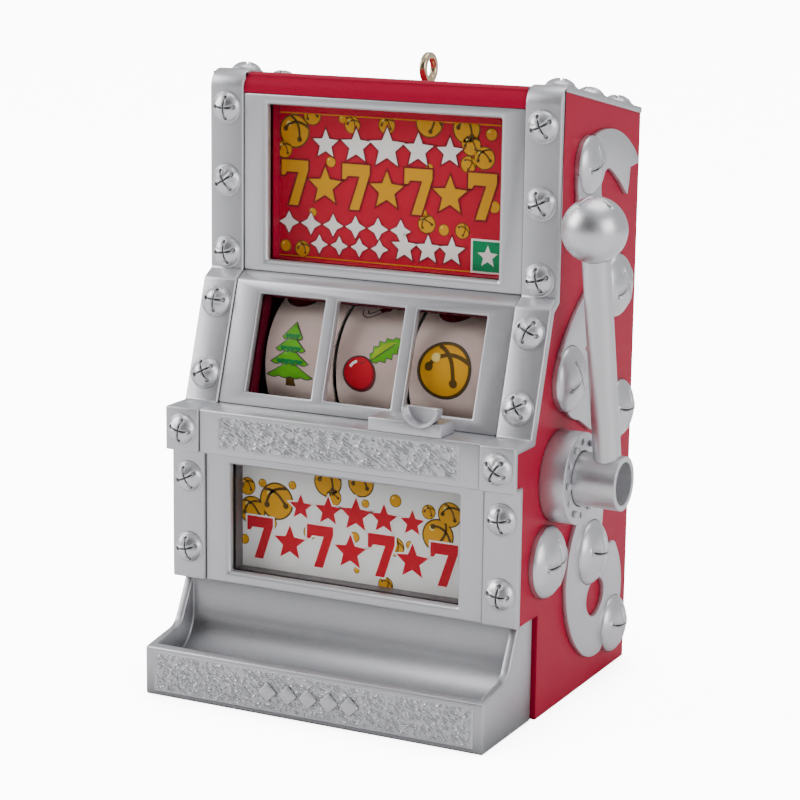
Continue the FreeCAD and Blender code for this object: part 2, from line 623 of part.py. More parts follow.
def make_ribbon(side, sign):
    """The flat silver ribbon of one side, cut round the bells."""
    eye_y, eye_z, long_half, short_half = RIBBON_EYE
    eye = Part.Ellipse(Vector(0, eye_y, eye_z), long_half, short_half)
    eye.Axis = Vector(1, 0, 0)
    eye.Center = Vector(0, eye_y, eye_z)
    low = ribbon_face(RIBBON_LOW).cut(Part.Face(Part.Wire(eye.toShape())))
    thick = Vector(size("ribbon"), 0, 0)
    plate = doc.addObject("Part::Feature", f"ribbon_plate_{side}")
    plate.Shape = Part.makeCompound([ribbon_face(RIBBON_TOP).extrude(thick), low.extrude(thick)])
    plate.Placement = Placement(Vector(), Rotation())
    bind(plate, x="side" if sign > 0 else "-side - ribbon", y="upper_y")
    tools = [rod_x(f"ribbon_gap_{side}_{index}", "side - 1" if sign > 0 else "-side - ribbon - 1",
                   y, z, radius, "ribbon + 2") for index, y, z, radius in side_bell_places()]
    return cut(f"side_ribbon_{side}", plate, tools)


# ------------------------------------------------------------------ tray, coin slot, loop
def make_tray():
    """The coin tray: low front wall, scooped ends and a rolled floor."""
    outer = side_profile("tray_block", [
        ("front", "0"), ("front", "tray_lip"), ("front + scoop_run", "tray_lip + scoop_rise"),
        ("lower_y + tray_back", "lower_bottom"), ("tray_rear_y", "lower_bottom"), ("tray_rear_y", "0"),
    ], "-tray_half", "2 * tray_half")
    round_edges(outer, "scoop_round", [(size("front") + size("scoop_run"),
                                        size("tray_lip") + size("scoop_rise"))])
    trough = side_profile("tray_trough", [
        ("front + tray_front_wall", "tray_floor"), ("front + tray_front_wall", "lower_bottom + 1"),
        ("lower_y + tray_back", "lower_bottom + 1"), ("lower_y + tray_back", "tray_floor"),
    ], "-(tray_half - tray_wall)", "2 * (tray_half - tray_wall)")
    round_edges(trough, "tray_roll", [(size("lower_y") + size("tray_back"), size("tray_floor"))])
    hollow = box("tray_hollow", "-(tray_half - tray_wall)", "lower_y + tray_back + tray_back_wall", "-1",
                 "2 * (tray_half - tray_wall)", "tray_rear_y - lower_y - tray_back - tray_back_wall + 1",
                 "lower_bottom - 0.2")
    return cut("coin_tray", outer, [trough, hollow])


def make_tray_emblem():
    """Five raised diamonds in the middle of the tray's front."""
    pieces = []
    for index in range(5):
        stone = doc.addObject("Part::Box", f"emblem_stone_{index}")
        stone.Placement = Placement(Vector(), Rotation(Vector(0, 1, 0), 45))
        bind(stone, x=f"{index - 2} * stone_pitch - stone / sqrt(2)",
             y="front - stone_proud", z="tray_lip / 2", Length="stone", Width="stone_proud",
             Height="stone")
        pieces.append(stone)
    return group("tray_emblem", pieces)


def make_coin_slot():
    """The coin block on the shelf and the half-round cup let into its front."""
    level = "shelf_top + cup_height"
    front = "band_y + cup_front"

    def cup_round(name):
        """The full round of the cup's outside."""
        return rod_y(name, "cup_centre", front, level, "cup_radius", "cup_depth")

    block = cut("coin_slot_block", box("slot_body", "slot_left", "band_y + slot_back", "shelf_top",
                                       "slot_width", "slot_depth", "slot_height"),
                [cup_round("slot_seat")])
    above = box("cup_above", "cup_centre - cup_radius - 1", f"{front} - 1", level,
                "2 * cup_radius + 2", "cup_depth + 2", "cup_radius + 1")
    hollow = rod_y("cup_hollow", "cup_centre", f"{front} - 1", level, "cup_radius - cup_wall",
                   "cup_depth - cup_back + 1")
    return block, cut("coin_slot_cup", cup_round("cup_body"), [above, hollow])


def make_loop():
    """The metal hanging loop: a rounded ring on a stem with a collar."""
    centre_z = "loop_top + loop_rise"
    ring = cut("loop_ring", rod_x("loop_disc", "-loop_width / 2", "loop_y", centre_z,
                                  "loop_radius", "loop_width"),
               [rod_x("loop_bore_tool", "-loop_width", "loop_y", centre_z, "loop_bore",
                      "2 * loop_width")])
    doc.recompute()
    soft = doc.addObject("Part::Fillet", "loop_soft")
    soft.Base = ring
    radius = size("loop_round")
    soft.Edges = [(index, radius, radius) for index, edge in enumerate(ring.Shape.Edges, start=1)
                  if isinstance(edge.Curve, Part.Circle)]
    stem = rod_z("loop_stem", "0", "loop_y", "loop_top - wall - stem_end", "stem_radius",
                 "loop_rise + wall + stem_end - loop_bore - stem_lap")
    collar = rod_z("loop_collar", "0", "loop_y", "loop_top - collar_height", "collar",
                   "2 * collar_height")
    return fuse("hanging_loop", [soft, stem, collar])


# ------------------------------------------------------------------ reels and their frame
def make_reel(side, x):
    """One reel: the drum, the printed strip round it and its notched wheel."""
    left = f"({x}) - reel_width / 2"
    outer = rod_x(f"drum_outer_{side}", left, "axle_y", "axle_height", "reel_radius", "reel_width")
    room = cut(f"drum_room_{side}",
               rod_x(f"drum_inner_{side}", f"{left} + reel_web", "axle_y", "axle_height",
                     "reel_radius - reel_rim", "reel_width"),
               [rod_x(f"drum_hub_{side}", f"{left}", "axle_y", "axle_height", "reel_hub",
                      "reel_width + 3")])
    bore = rod_x(f"drum_bore_{side}", f"{left} - 1", "axle_y", "axle_height",
                 "axle_radius + running", "reel_width + 3")
    drum = cut(f"reel_drum_{side}", outer, [room, bore])
    strip = cut(f"reel_strip_{side}",
                rod_x(f"strip_outer_{side}", left, "axle_y", "axle_height", "reel_radius + strip",
                      "reel_width"),
                [rod_x(f"strip_inner_{side}", f"{left} - 1", "axle_y", "axle_height",
                       "reel_radius", "reel_width + 2")])
    disc = rod_x(f"star_disc_{side}", f"{left} - star_width", "axle_y", "axle_height",
                 "star_radius", "star_width")
    notches = [rod_x(f"star_notch_{side}_{index}", f"{left} - star_width - 1",
                     f"axle_y + star_radius * cos({60 * index} deg)",
                     f"axle_height + star_radius * sin({60 * index} deg)", "notch", "star_width + 2")
               for index in range(6)]
    hole = rod_x(f"star_bore_{side}", f"{left} - star_width - 1", "axle_y", "axle_height",
                 "axle_radius + running", "star_width + 2")
    star = cut(f"notch_wheel_{side}", disc, notches + [hole])
    return drum, strip, star


def make_frame_plate(side, sign):
    """One upright plate of the reel frame, with its foot."""
    low = "frame_inner" if sign > 0 else "-frame_outer"
    plate = box(f"frame_sheet_{side}", low, "axle_y - frame_front", "base_thick", "frame_plate",
                "frame_front + frame_rear", "axle_height + frame_above - base_thick")
    foot = box(f"frame_foot_{side}", "frame_outer" if sign > 0 else "-frame_outer - foot_length",
               "axle_y - foot_front", "base_thick", "foot_length", "foot_front + foot_rear",
               "foot_thick")
    through = "frame_inner - 1" if sign > 0 else "-frame_outer - 1"
    tools = [rod_x(f"frame_bore_{side}", through, "axle_y", "axle_height",
                   "axle_radius + running", "frame_plate + 2")]
    tools += [rod_x(f"frame_bar_hole_{side}_{index}", through, y, z, "bar_radius",
                    "frame_plate + 2") for index, (y, z) in enumerate(bar_places())]
    tools.append(rod_z(f"foot_hole_{side}", f"{sign} * (frame_outer + foot_length / 2)",
                       "axle_y + frame_screw_back", "0", "screw_radius + screw_room",
                       "base_thick + foot_thick + 1"))
    if sign > 0:
        tools.append(rod_x("frame_lever_bore", through, "lever_y", "lever_height",
                           "shaft_radius + running", "frame_plate + 2"))
    return cut(f"reel_frame_{side}", fuse(f"frame_whole_{side}", [plate, foot]), tools)


def bar_places():
    """The (y, z) of the two bars that tie the frame plates together."""
    return [("axle_y + bar_back", "axle_height - bar_rise"), ("axle_y", "bar_low")]


def make_frame_fittings():
    """Cross bars, frame screws and the leaf that clicks into each notched wheel."""
    bars = group("frame_bars", [
        rod_x(f"frame_bar_{index}", "-frame_outer", y, z, "bar_radius", "2 * frame_outer")
        for index, (y, z) in enumerate(bar_places())])
    screws = make_screws("frame_screws", [
        (side, rod_z(f"frame_head_{side}", f"{sign} * (frame_outer + foot_length / 2)",
                     "axle_y + frame_screw_back", "base_thick + foot_thick", "screw_head",
                     "screw_head_height"),
         rod_z(f"frame_shank_{side}", f"{sign} * (frame_outer + foot_length / 2)",
               "axle_y + frame_screw_back", "frame_screw_start", "screw_radius",
               "base_thick + foot_thick - frame_screw_start"))
        for side, sign in (("left", -1), ("right", 1))])
    leaves = group("detent_springs", [
        box(f"detent_leaf_{index}",
            f"{index - 1} * reel_pitch - reel_width / 2 - star_width / 2 - leaf_width / 2",
            "axle_y + bar_back - bar_radius - leaf_thick", "axle_height - bar_rise - bar_radius",
            "leaf_width", "leaf_thick", "bar_rise + bar_radius - star_radius - leaf_gap")
        for index in range(3)])
    return [bars, screws, leaves]


# ------------------------------------------------------------------ drive
PRESSURE_ANGLE = math.radians(20)
ADDENDUM, DEDENDUM = 0.8, 1.15
FLANK_STEPS, ROOT_SPREAD = 4, 0.02


def gear_outline(teeth, module, turn, first=0, last=None, backlash=0.06):
    """Points of an involute gear's outline, from one tooth to another, about the origin."""
    pitch = module * teeth / 2
    base = pitch * math.cos(PRESSURE_ANGLE)
    tip, root = pitch + ADDENDUM * module, pitch - DEDENDUM * module
    spread = math.tan(PRESSURE_ANGLE) - PRESSURE_ANGLE
    half = math.pi / (2 * teeth) - backlash / (2 * pitch) + spread
    points = []
    for tooth in range(first, teeth if last is None else last):
        middle = turn + 2 * math.pi * tooth / teeth
        low = max(base, root)
        flank = []
        for step in range(FLANK_STEPS + 1):
            radius = low + (tip - low) * step / FLANK_STEPS
            lean = math.acos(base / radius)
            flank.append((radius, half - (math.tan(lean) - lean)))
        rising = [(root, flank[0][1] + ROOT_SPREAD)] + flank
        points += [(radius, middle - angle) for radius, angle in rising]
        points += [(radius, middle + angle) for radius, angle in reversed(rising)]
    return [Vector(0, radius * math.cos(angle), radius * math.sin(angle))
            for radius, angle in points]


def gear_sizes():
    """Module, and the angle of the line from the lever's shaft to the reel axle."""
    run = size("axle_y") - size("lever_y")
    rise = size("axle_height") - size("lever_height")
    module = 2 * math.hypot(run, rise) / (size("sector_teeth") + size("pinion_teeth"))
    return module, math.atan2(rise, run)


def make_pinion():
    """The small gear on the reel axle."""
    module, line = gear_sizes()
    teeth = int(size("pinion_teeth"))
    points = gear_outline(teeth, module, line + math.pi + math.pi / teeth)
    face = Part.Face(Part.makePolygon(points + points[:1]))
    blank = doc.addObject("Part::Feature", "pinion_blank")
    blank.Shape = face.extrude(Vector(size("gear_width"), 0, 0))
    bind(blank, x="gear_start", y="axle_y", z="axle_height")
    return cut("drive_pinion", blank, [rod_x("pinion_bore", "gear_start - 1", "axle_y",
                                             "axle_height", "axle_radius", "gear_width + 2")])


def make_sector():
    """The toothed sector on the lever's shaft, with its hub."""
    module, line = gear_sizes()
    teeth = int(size("sector_teeth"))
    points = gear_outline(teeth, module, line, first=-8, last=2)
    root = size("sector_root")
    inner = [Vector(0, root * math.cos(angle), root * math.sin(angle))
             for angle in (line + 1.9, line + math.pi, line - 2.6)]
    face = Part.Face(Part.makePolygon(points + inner + points[:1]))
    blank = doc.addObject("Part::Feature", "sector_blank")
    blank.Shape = face.extrude(Vector(size("gear_width"), 0, 0))
    bind(blank, x="gear_start", y="lever_y", z="lever_height")
    hub = rod_x("sector_hub", "gear_start", "lever_y", "lever_height", "shaft_radius + sector_hub_wall",
                "gear_width + sector_hub_step")
    return cut("sector_gear", fuse("sector_whole", [blank, hub]),
               [rod_x("sector_bore", "gear_start - 1", "lever_y", "lever_height", "shaft_radius",
                      "gear_width + 3")])


def make_drive():
    """The reel axle and the collars that space the reels."""
    axle = rod_x("reel_axle", "-frame_outer - axle_end", "axle_y", "axle_height", "axle_radius",
                 "frame_outer + axle_end + gear_start + gear_width + axle_tip")
    starts = [f"{index - 1} * reel_pitch + reel_width / 2 + collar_gap" for index in range(3)]
    starts.append("-frame_outer - side_gap - collar_width")
    collars = []
    for index, start in enumerate(starts):
        ring = rod_x(f"collar_disc_{index}", start, "axle_y", "axle_height", "collar_radius",
                     "collar_width")
        hole = rod_x(f"collar_hole_{index}", f"{start} - 1", "axle_y", "axle_height",
                     "axle_radius", "collar_width + 2")
        collars.append(cut(f"collar_{index}", ring, [hole]))
    return [axle, group("axle_collars", collars), make_pinion()]


# ------------------------------------------------------------------ lever
def lever_bar(name, radius):
    """The leaning bar from the hub's axis to the middle of the ball."""
    run = Vector(-size("rod_lean_x"), -size("rod_lean_y"), size("ball_height"))
    bar = doc.addObject("Part::Cylinder", name)
    bar.Placement = Placement(Vector(), Rotation(Vector(0, 0, 1), run))
    return bind(bar, x="side + rod_offset", y="lever_y", z="lever_height", Radius=radius,
                Height="sqrt(rod_lean_x ^ 2 + rod_lean_y ^ 2 + ball_height ^ 2)")


def ball(name):
    """The ball on the end of the lever."""
    knob = doc.addObject("Part::Sphere", name)
    return bind(knob, x="side + rod_offset - rod_lean_x", y="lever_y - rod_lean_y",
                z="lever_height + ball_height", Radius="ball_radius")


def make_lever():
    """The pull lever: ball, rod, hub and shaft, with the clip that keeps it in."""
    rod = cut("lever_rod", lever_bar("rod_bar", "rod_radius"), [
        rod_x("rod_hub_tool", "side", "lever_y", "lever_height", "hub_radius", "hub_reach + 1"),
        ball("rod_ball_tool")])
    hub_start = "side + housing_wall + hub_face_gap"
    hub = cut("lever_hub", rod_x("hub_bar", hub_start, "lever_y", "lever_height", "hub_radius",
                                 "hub_reach - housing_wall - hub_face_gap"), [
        rod_x("hub_socket_tool", "hub_end - hub_socket", "lever_y", "lever_height", "hub_bore",
              "hub_socket + 1"),
        rod_x("hub_shaft_tool", "side", "lever_y", "lever_height", "shaft_radius",
              "hub_reach - hub_socket - hub_floor")])
    shaft = rod_x("lever_shaft", "frame_inner - 1", "lever_y", "lever_height", "shaft_radius",
                  "side + hub_reach - hub_socket - hub_floor - frame_inner + 1")
    clip = cut("shaft_clip", rod_x("clip_disc", "frame_inner - side_gap - clip_width", "lever_y",
                                   "lever_height", "clip_radius", "clip_width"),
               [rod_x("clip_hole", "frame_inner - 3", "lever_y", "lever_height", "shaft_radius",
                      "4")])
    return [ball("lever_ball"), rod, hub, shaft, clip, make_sector()]


def stud_angles(offset):
    """The angles round the housing's face of its studs or its holes."""
    return [offset + 60 * index for index in range(6)]


def make_housing():
    """The round housing on the cabinet's side, its studs, the bush and the return spring."""
    disc = rod_x("housing_disc", "side", "lever_y", "lever_height", "housing_radius",
                 "housing_depth")
    tools = [rod_x("housing_room", "side + housing_wall", "lever_y", "lever_height",
                   "hub_radius + hub_gap", "housing_depth"),
             rod_x("housing_bore", "side - 1", "lever_y", "lever_height",
                   "shaft_radius + running", "housing_wall + 2")]
    ring = "(hub_radius + hub_gap + housing_radius) / 2"
    tools += [rod_x(f"housing_hole_{index}", "side + housing_depth - pin_depth",
                    f"lever_y + {ring} * cos({angle} deg)",
                    f"lever_height + {ring} * sin({angle} deg)", "pin_radius", "2")
              for index, angle in enumerate(stud_angles(30))]
    housing = cut("lever_housing", disc, tools)
    studs = group("housing_studs", [
        box(f"housing_stud_{index}", "side + housing_depth",
            f"lever_y + {ring} * cos({angle} deg) - stud / 2",
            f"lever_height + {ring} * sin({angle} deg) - stud / 2", "stud_rise", "stud", "stud")
        for index, angle in enumerate(stud_angles(0))])
    flange = rod_x("bush_flange_disc", "inner_side - bush_flange_width", "lever_y",
                   "lever_height", "bush_flange", "bush_flange_width")
    barrel = rod_x("bush_barrel", "inner_side - bush_start", "lever_y", "lever_height", "bush_radius",
                   "wall + bush_start")
    bush = cut("lever_bush", fuse("bush_whole", [flange, barrel]),
               [rod_x("bush_bore", "inner_side - 3", "lever_y", "lever_height",
                      "shaft_radius + running", "wall + 6")])
    coil_start = "inner_side - bush_flange_width - coil_length"
    coil = cut("return_spring", rod_x("coil_disc", coil_start, "lever_y", "lever_height",
                                      "coil_radius", "coil_length"),
               [rod_x("coil_hole", f"{coil_start} - 1", "lever_y", "lever_height",
                      "coil_radius - coil_wire", "coil_length + 2")])
    return [housing, studs, bush, coil]


# ------------------------------------------------------------------ the whole machine
def build():
    """Make every sub-part and return them in order."""
    parts = [make_shell(), make_back_cover(), make_cover_screws(), make_base(),
             make_base_screws(), make_sign_frame(), make_reel_bezel(), make_reel_window(),
             make_reel_surround(), make_lower_bezel()]
    parts += make_cards_and_panes()
    for side, sign in (("left", -1), ("right", 1)):
        parts += [make_strap(side, sign), make_strap_bells(side, sign),
                  make_side_bells(side, sign), make_ribbon(side, sign),
                  make_frame_plate(side, sign)]
    parts += [make_tray(), make_tray_emblem(), *make_coin_slot(), make_loop()]
    parts += make_frame_fittings() + make_housing()
    for side, x in (("left", "reel_left_x"), ("centre", "0"), ("right", "reel_right_x")):
        parts += make_reel(side, x)
    return parts + make_drive() + make_lever()


def check(parts):
    """Stop on any failed object or bad shape."""
    for item in doc.Objects:
        if "Invalid" in item.State or "Error" in item.State:
            raise RuntimeError(f"{item.Name} failed: {item.State}")
    for part in parts:
        shape = part.Shape
        if shape.isNull() or not shape.isValid() or not shape.Solids:
            raise RuntimeError(f"{part.Name} has no valid solid")


parts = build()
doc.recompute()
check(parts)
os.makedirs("parts", exist_ok=True)
for part in parts:
    part.Label = part.Name
    part.Shape.exportStep(f"parts/{part.Name}.step")
    print(f"{part.Name:20s} {len(part.Shape.Solids):3d} {part.Shape.Volume:10.2f} mm3")
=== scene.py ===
"""Looks of a small ornament slot machine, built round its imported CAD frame.

Every length is in metres in the frame's own axes: X to the lever side, -Y to the front, Z up.
Tables of drawn shapes are in millimetres and are turned into metres where they are used.
"""
import json
import logging
import math
import random
from collections.abc import Callable
from dataclasses import dataclass, field
from enum import Enum

import bmesh
import bpy
import numpy as np
from mathutils import Matrix, Vector, geometry, noise

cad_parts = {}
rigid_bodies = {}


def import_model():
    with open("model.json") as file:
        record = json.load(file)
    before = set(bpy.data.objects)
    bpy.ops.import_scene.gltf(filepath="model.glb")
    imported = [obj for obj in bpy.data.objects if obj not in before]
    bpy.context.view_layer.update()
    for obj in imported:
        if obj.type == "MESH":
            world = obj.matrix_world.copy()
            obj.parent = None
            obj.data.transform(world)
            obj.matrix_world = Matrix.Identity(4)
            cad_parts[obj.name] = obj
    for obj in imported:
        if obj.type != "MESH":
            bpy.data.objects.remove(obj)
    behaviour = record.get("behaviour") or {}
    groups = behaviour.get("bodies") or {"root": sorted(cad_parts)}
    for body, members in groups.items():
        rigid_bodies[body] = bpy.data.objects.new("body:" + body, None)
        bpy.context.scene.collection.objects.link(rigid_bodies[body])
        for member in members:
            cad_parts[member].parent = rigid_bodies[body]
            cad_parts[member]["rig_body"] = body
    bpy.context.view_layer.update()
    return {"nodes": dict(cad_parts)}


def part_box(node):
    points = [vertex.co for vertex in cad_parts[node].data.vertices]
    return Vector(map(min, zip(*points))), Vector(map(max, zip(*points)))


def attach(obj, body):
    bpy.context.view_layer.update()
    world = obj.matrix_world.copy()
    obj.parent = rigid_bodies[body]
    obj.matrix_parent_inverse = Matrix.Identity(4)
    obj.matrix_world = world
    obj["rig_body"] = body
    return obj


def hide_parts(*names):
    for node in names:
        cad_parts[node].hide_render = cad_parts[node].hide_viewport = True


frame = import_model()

LOG = logging.getLogger("slot_machine")
MM = 0.001
TURN = 2 * math.pi
LAYER = 0.00001
COAT_ROUGHNESS = 0.12
EDGE_START, EDGE_FULL = 0.99, 0.80
GROOVE_START, GROOVE_FULL = 0.75, 0.2

Point = tuple[float, float]
Colour = tuple[float, float, float]
Socket = bpy.types.NodeSocket


# ------------------------------------------------------------------ finishes
@dataclass(frozen=True)
class Finish:
    """A painted, moulded, printed or metal surface.

    Args:
        name: The material's name.
        base: Main colour, linear.
        second: Colour that the fine grain moves towards, linear.
        metallic: Share of metal.
        rough: Lowest and highest roughness over the grain.
        grain: Grains per metre.
        bump: Height of the grain in metres.
        coat: Share of clear gloss over the colour.
        gloss: Strength of the plain surface reflection, 0.5 for usual plastic.
        edge: Colour painted onto edges as a highlight, linear.
        edge_highlight_share: How strongly edges take it.
        edge_radius: How far an edge's softening reaches, in metres.
        painted_shade: Colour of the shade that gathers in grooves, linear.
        painted_shade_share: How strongly grooves take it.
        painted_shade_reach: How far from a corner its shade starts, in metres.
        glow: Light that the camera sees the surface give off, for a lit floor.
    """

    name: str
    base: Colour
    second: Colour
    metallic: float = 0.0
    rough: tuple[float, float] = (0.35, 0.45)
    grain: float = 4000.0
    bump: float = 0.00001
    coat: float = 0.0
    gloss: float = 0.5
    edge: Colour = (0.9, 0.9, 0.9)
    edge_highlight_share: float = 0.0
    edge_radius: float = 0.00018
    painted_shade: Colour = (0.05, 0.05, 0.05)
    painted_shade_share: float = 0.0
    painted_shade_reach: float = 0.0006
    glow: float = 0.0

    def material(self) -> bpy.types.Material:
        """Builds the material once, and gives the same one on later calls.

        Returns:
            The Blender material.
        """
        found = bpy.data.materials.get(self.name)
        if found:
            return found
        mat = bpy.data.materials.new(self.name)
        mat.use_nodes = True
        tree = mat.node_tree
        shader = tree.nodes["Principled BSDF"]
        grain = placed(tree, grain_group(), Scale=self.grain)
        edge = placed(tree, edge_group(), Radius=self.edge_radius)
        groove = placed(tree, groove_group(), Distance=self.painted_shade_reach)
        colour = mixed(tree, grain.outputs["Tone"], self.base, self.second)
        # Painted highlight: edges found by the bevel shader are lightened towards the edge colour.
        if self.edge_highlight_share:
            colour = mixed(tree, scaled(tree, edge.outputs["Edge"], self.edge_highlight_share), colour, self.edge)
        # Painted shade: grooves and corners that ambient occlusion finds are darkened towards the shade
        # colour.
        if self.painted_shade_share:
            colour = mixed(tree, scaled(tree, groove.outputs["Groove"], self.painted_shade_share), colour, self.painted_shade)
        tree.links.new(colour, shader.inputs["Base Color"])
        rough = ranged(tree, grain.outputs["Cloud"], (0.0, 1.0), self.rough)
        tree.links.new(rough, shader.inputs["Roughness"])
        bump = tree.nodes.new("ShaderNodeBump")
        bump.inputs["Distance"].default_value = self.bump
        tree.links.new(grain.outputs["Height"], bump.inputs["Height"])
        tree.links.new(edge.outputs["Normal"], bump.inputs["Normal"])
        tree.links.new(bump.outputs["Normal"], shader.inputs["Normal"])
        shader.inputs["Metallic"].default_value = self.metallic
        shader.inputs["Coat Weight"].default_value = self.coat
        shader.inputs["Specular IOR Level"].default_value = self.gloss
        # The glow takes the colour with its painted shade, so on the floor it shows a painted contact
        # shadow round the object.
        if self.glow:
            path = tree.nodes.new("ShaderNodeLightPath")
            tree.links.new(colour, shader.inputs["Emission Color"])
            glow = ranged(tree, path.outputs["Is Camera Ray"], (0.0, 1.0), (0.0, self.glow))
            tree.links.new(glow, shader.inputs["Emission Strength"])
        shader.inputs["Coat Roughness"].default_value = COAT_ROUGHNESS
        return mat


@dataclass(frozen=True)
class ClearSheet:
    """A clear plastic sheet that lets lamp light through to what lies behind it."""

    name: str = "clear_sheet"
    tint: Colour = (0.98, 0.98, 0.98)
    refraction: float = 1.1
    rough: tuple[float, float] = (0.0, 0.05)
    grain: float = 500.0

    def material(self) -> bpy.types.Material:
        """Builds the material once.

        Returns:
            The Blender material.
        """
        found = bpy.data.materials.get(self.name)
        if found:
            return found
        mat = bpy.data.materials.new(self.name)
        mat.use_nodes = True
        tree = mat.node_tree
        shader = tree.nodes["Principled BSDF"]
        grain = placed(tree, grain_group(), Scale=self.grain)
        rough = ranged(tree, grain.outputs["Cloud"], (0.0, 1.0), self.rough)
        tree.links.new(rough, shader.inputs["Roughness"])
        shader.inputs["Base Color"].default_value = (*self.tint, 1)
        shader.inputs["Transmission Weight"].default_value = 1.0
        shader.inputs["IOR"].default_value = self.refraction
        path = tree.nodes.new("ShaderNodeLightPath")
        through = tree.nodes.new("ShaderNodeBsdfTransparent")
        choice = tree.nodes.new("ShaderNodeMixShader")
        tree.links.new(path.outputs["Is Shadow Ray"], choice.inputs[0])
        tree.links.new(shader.outputs["BSDF"], choice.inputs[1])
        tree.links.new(through.outputs["BSDF"], choice.inputs[2])
        tree.links.new(choice.outputs["Shader"], tree.nodes["Material Output"].inputs["Surface"])
        return mat


def ink(name: str, base: Colour, second: Colour) -> Finish:
    """A printed ink.

    Args:
        name: The material's name.
        base: Main colour, linear.
        second: Colour that the grain moves towards, linear.

    Returns:
        The finish.
    """
    return Finish(name, base, second, 0.0, (0.35, 0.5), 6000.0, gloss=0.15)


# Below, the edge colour of each finish is a painted highlight along its edges, and the colour that grooves
# take is painted shade in grooves and corners.
SILVER = Finish("silver_paint", (0.55, 0.55, 0.575), (0.70, 0.70, 0.725), 0.72, (0.30, 0.42), 9000.0,
                0.000012, edge=(0.95, 0.95, 0.96), edge_highlight_share=0.55, edge_radius=0.00022,
                painted_shade=(0.10, 0.10, 0.11), painted_shade_share=0.75)
# A darker, shaded copy of the silver: its base and its far-reaching groove colour paint the shade of the
# tray's hollow.
TRAY_SILVER_PAINTED_SHADE = Finish("tray_silver_painted_shade", (0.50, 0.50, 0.52), (0.66, 0.66, 0.685), 0.72, (0.30, 0.42), 9000.0,
                     0.000012, edge=(0.95, 0.95, 0.96), edge_highlight_share=0.6, edge_radius=0.00022,
                     painted_shade=(0.05, 0.05, 0.055), painted_shade_share=0.95, painted_shade_reach=0.012)
# Painted shade darkens the bells' slits.
BELL_SILVER = Finish("bell_silver", (0.64, 0.64, 0.66), (0.76, 0.76, 0.78), 0.88, (0.27, 0.38), 8000.0,
                     0.000012, painted_shade=(0.03, 0.028, 0.028), painted_shade_share=1.0)
ROD_SILVER = Finish("rod_silver", (0.60, 0.60, 0.62), (0.74, 0.74, 0.75), 0.8, (0.28, 0.38), 11000.0,
                    0.000014, edge=(0.95, 0.95, 0.95), edge_highlight_share=0.4,
                    painted_shade=(0.08, 0.07, 0.07), painted_shade_share=0.8)
RED_GLOSS = Finish("red_gloss", (0.38, 0.006, 0.034), (0.44, 0.009, 0.042), 0.0, (0.26, 0.38), 2600.0,
                   0.000006, coat=0.02, gloss=0.06, edge=(0.62, 0.03, 0.07), edge_highlight_share=0.3,
                   painted_shade=(0.08, 0.0, 0.004), painted_shade_share=0.8)
# A dark grey that paints the shade inside the lower window's recess.
LINING_PAINTED_SHADE = Finish("lining_painted_shade", (0.11, 0.095, 0.10), (0.16, 0.14, 0.145), 0.3, (0.35, 0.5), 4000.0)
# A darkened red that paints the shade inside the reel window's recess.
RED_LINING_PAINTED_SHADE = Finish("red_lining_painted_shade", (0.10, 0.002, 0.012), (0.14, 0.004, 0.018), 0.0,
                         (0.4, 0.5), 4000.0, gloss=0.1)
CARD_RED = Finish("card_red", (0.46, 0.004, 0.022), (0.52, 0.006, 0.030), 0.0, (0.40, 0.55), 5200.0,
                  gloss=0.15)
CARD_WHITE = Finish("card_white", (0.80, 0.78, 0.75), (0.88, 0.87, 0.85), 0.0, (0.40, 0.55), 5200.0)
# Painted shade darkens the reel paper near the window's edges.
PAPER = Finish("reel_paper", (0.74, 0.60, 0.53), (0.80, 0.67, 0.60), 0.0, (0.45, 0.6), 5200.0, gloss=0.15,
               painted_shade=(0.28, 0.14, 0.13), painted_shade_share=0.55, painted_shade_reach=0.0025)
NYLON = Finish("white_nylon", (0.72, 0.71, 0.67), (0.80, 0.79, 0.76), 0.0, (0.4, 0.5), 3000.0,
               painted_shade=(0.2, 0.19, 0.17), painted_shade_share=0.5)
BLACK = Finish("black_plate", (0.018, 0.018, 0.02), (0.035, 0.035, 0.038), 0.1, (0.4, 0.55), 5000.0)
STEEL = Finish("zinc_steel", (0.50, 0.49, 0.46), (0.63, 0.62, 0.58), 1.0, (0.26, 0.4), 6000.0,
               painted_shade=(0.06, 0.05, 0.04), painted_shade_share=0.8)
BRASS = Finish("pale_gold_wire", (0.72, 0.56, 0.34), (0.85, 0.70, 0.46), 1.0, (0.14, 0.24), 5000.0,
               0.000004)
GOLD_INK = ink("gold_ink", (0.60, 0.27, 0.004), (0.68, 0.33, 0.010))
PALE_GOLD_INK = ink("pale_gold_ink", (0.86, 0.62, 0.14), (0.92, 0.70, 0.22))
BROWN_INK = ink("brown_ink", (0.075, 0.040, 0.004), (0.11, 0.060, 0.008))
WHITE_INK = ink("white_ink", (0.82, 0.78, 0.72), (0.90, 0.87, 0.82))
RED_INK = ink("red_ink", (0.46, 0.002, 0.012), (0.54, 0.006, 0.022))
DARK_RED_INK = ink("dark_red_ink", (0.16, 0.006, 0.010), (0.20, 0.012, 0.018))
GREEN_INK = ink("green_ink", (0.07, 0.30, 0.002), (0.11, 0.38, 0.006))
DEEP_GREEN_INK = ink("deep_green_ink", (0.005, 0.14, 0.03), (0.008, 0.18, 0.04))
TAG_GREEN_INK = ink("tag_green_ink", (0.002, 0.22, 0.07), (0.006, 0.27, 0.10))
LIME_INK = ink("lime_ink", (0.26, 0.38, 0.002), (0.32, 0.46, 0.006))
LINE_INK = Finish("line_ink", (0.012, 0.012, 0.010), (0.03, 0.028, 0.024), 0.0, (0.4, 0.5), 6000.0)
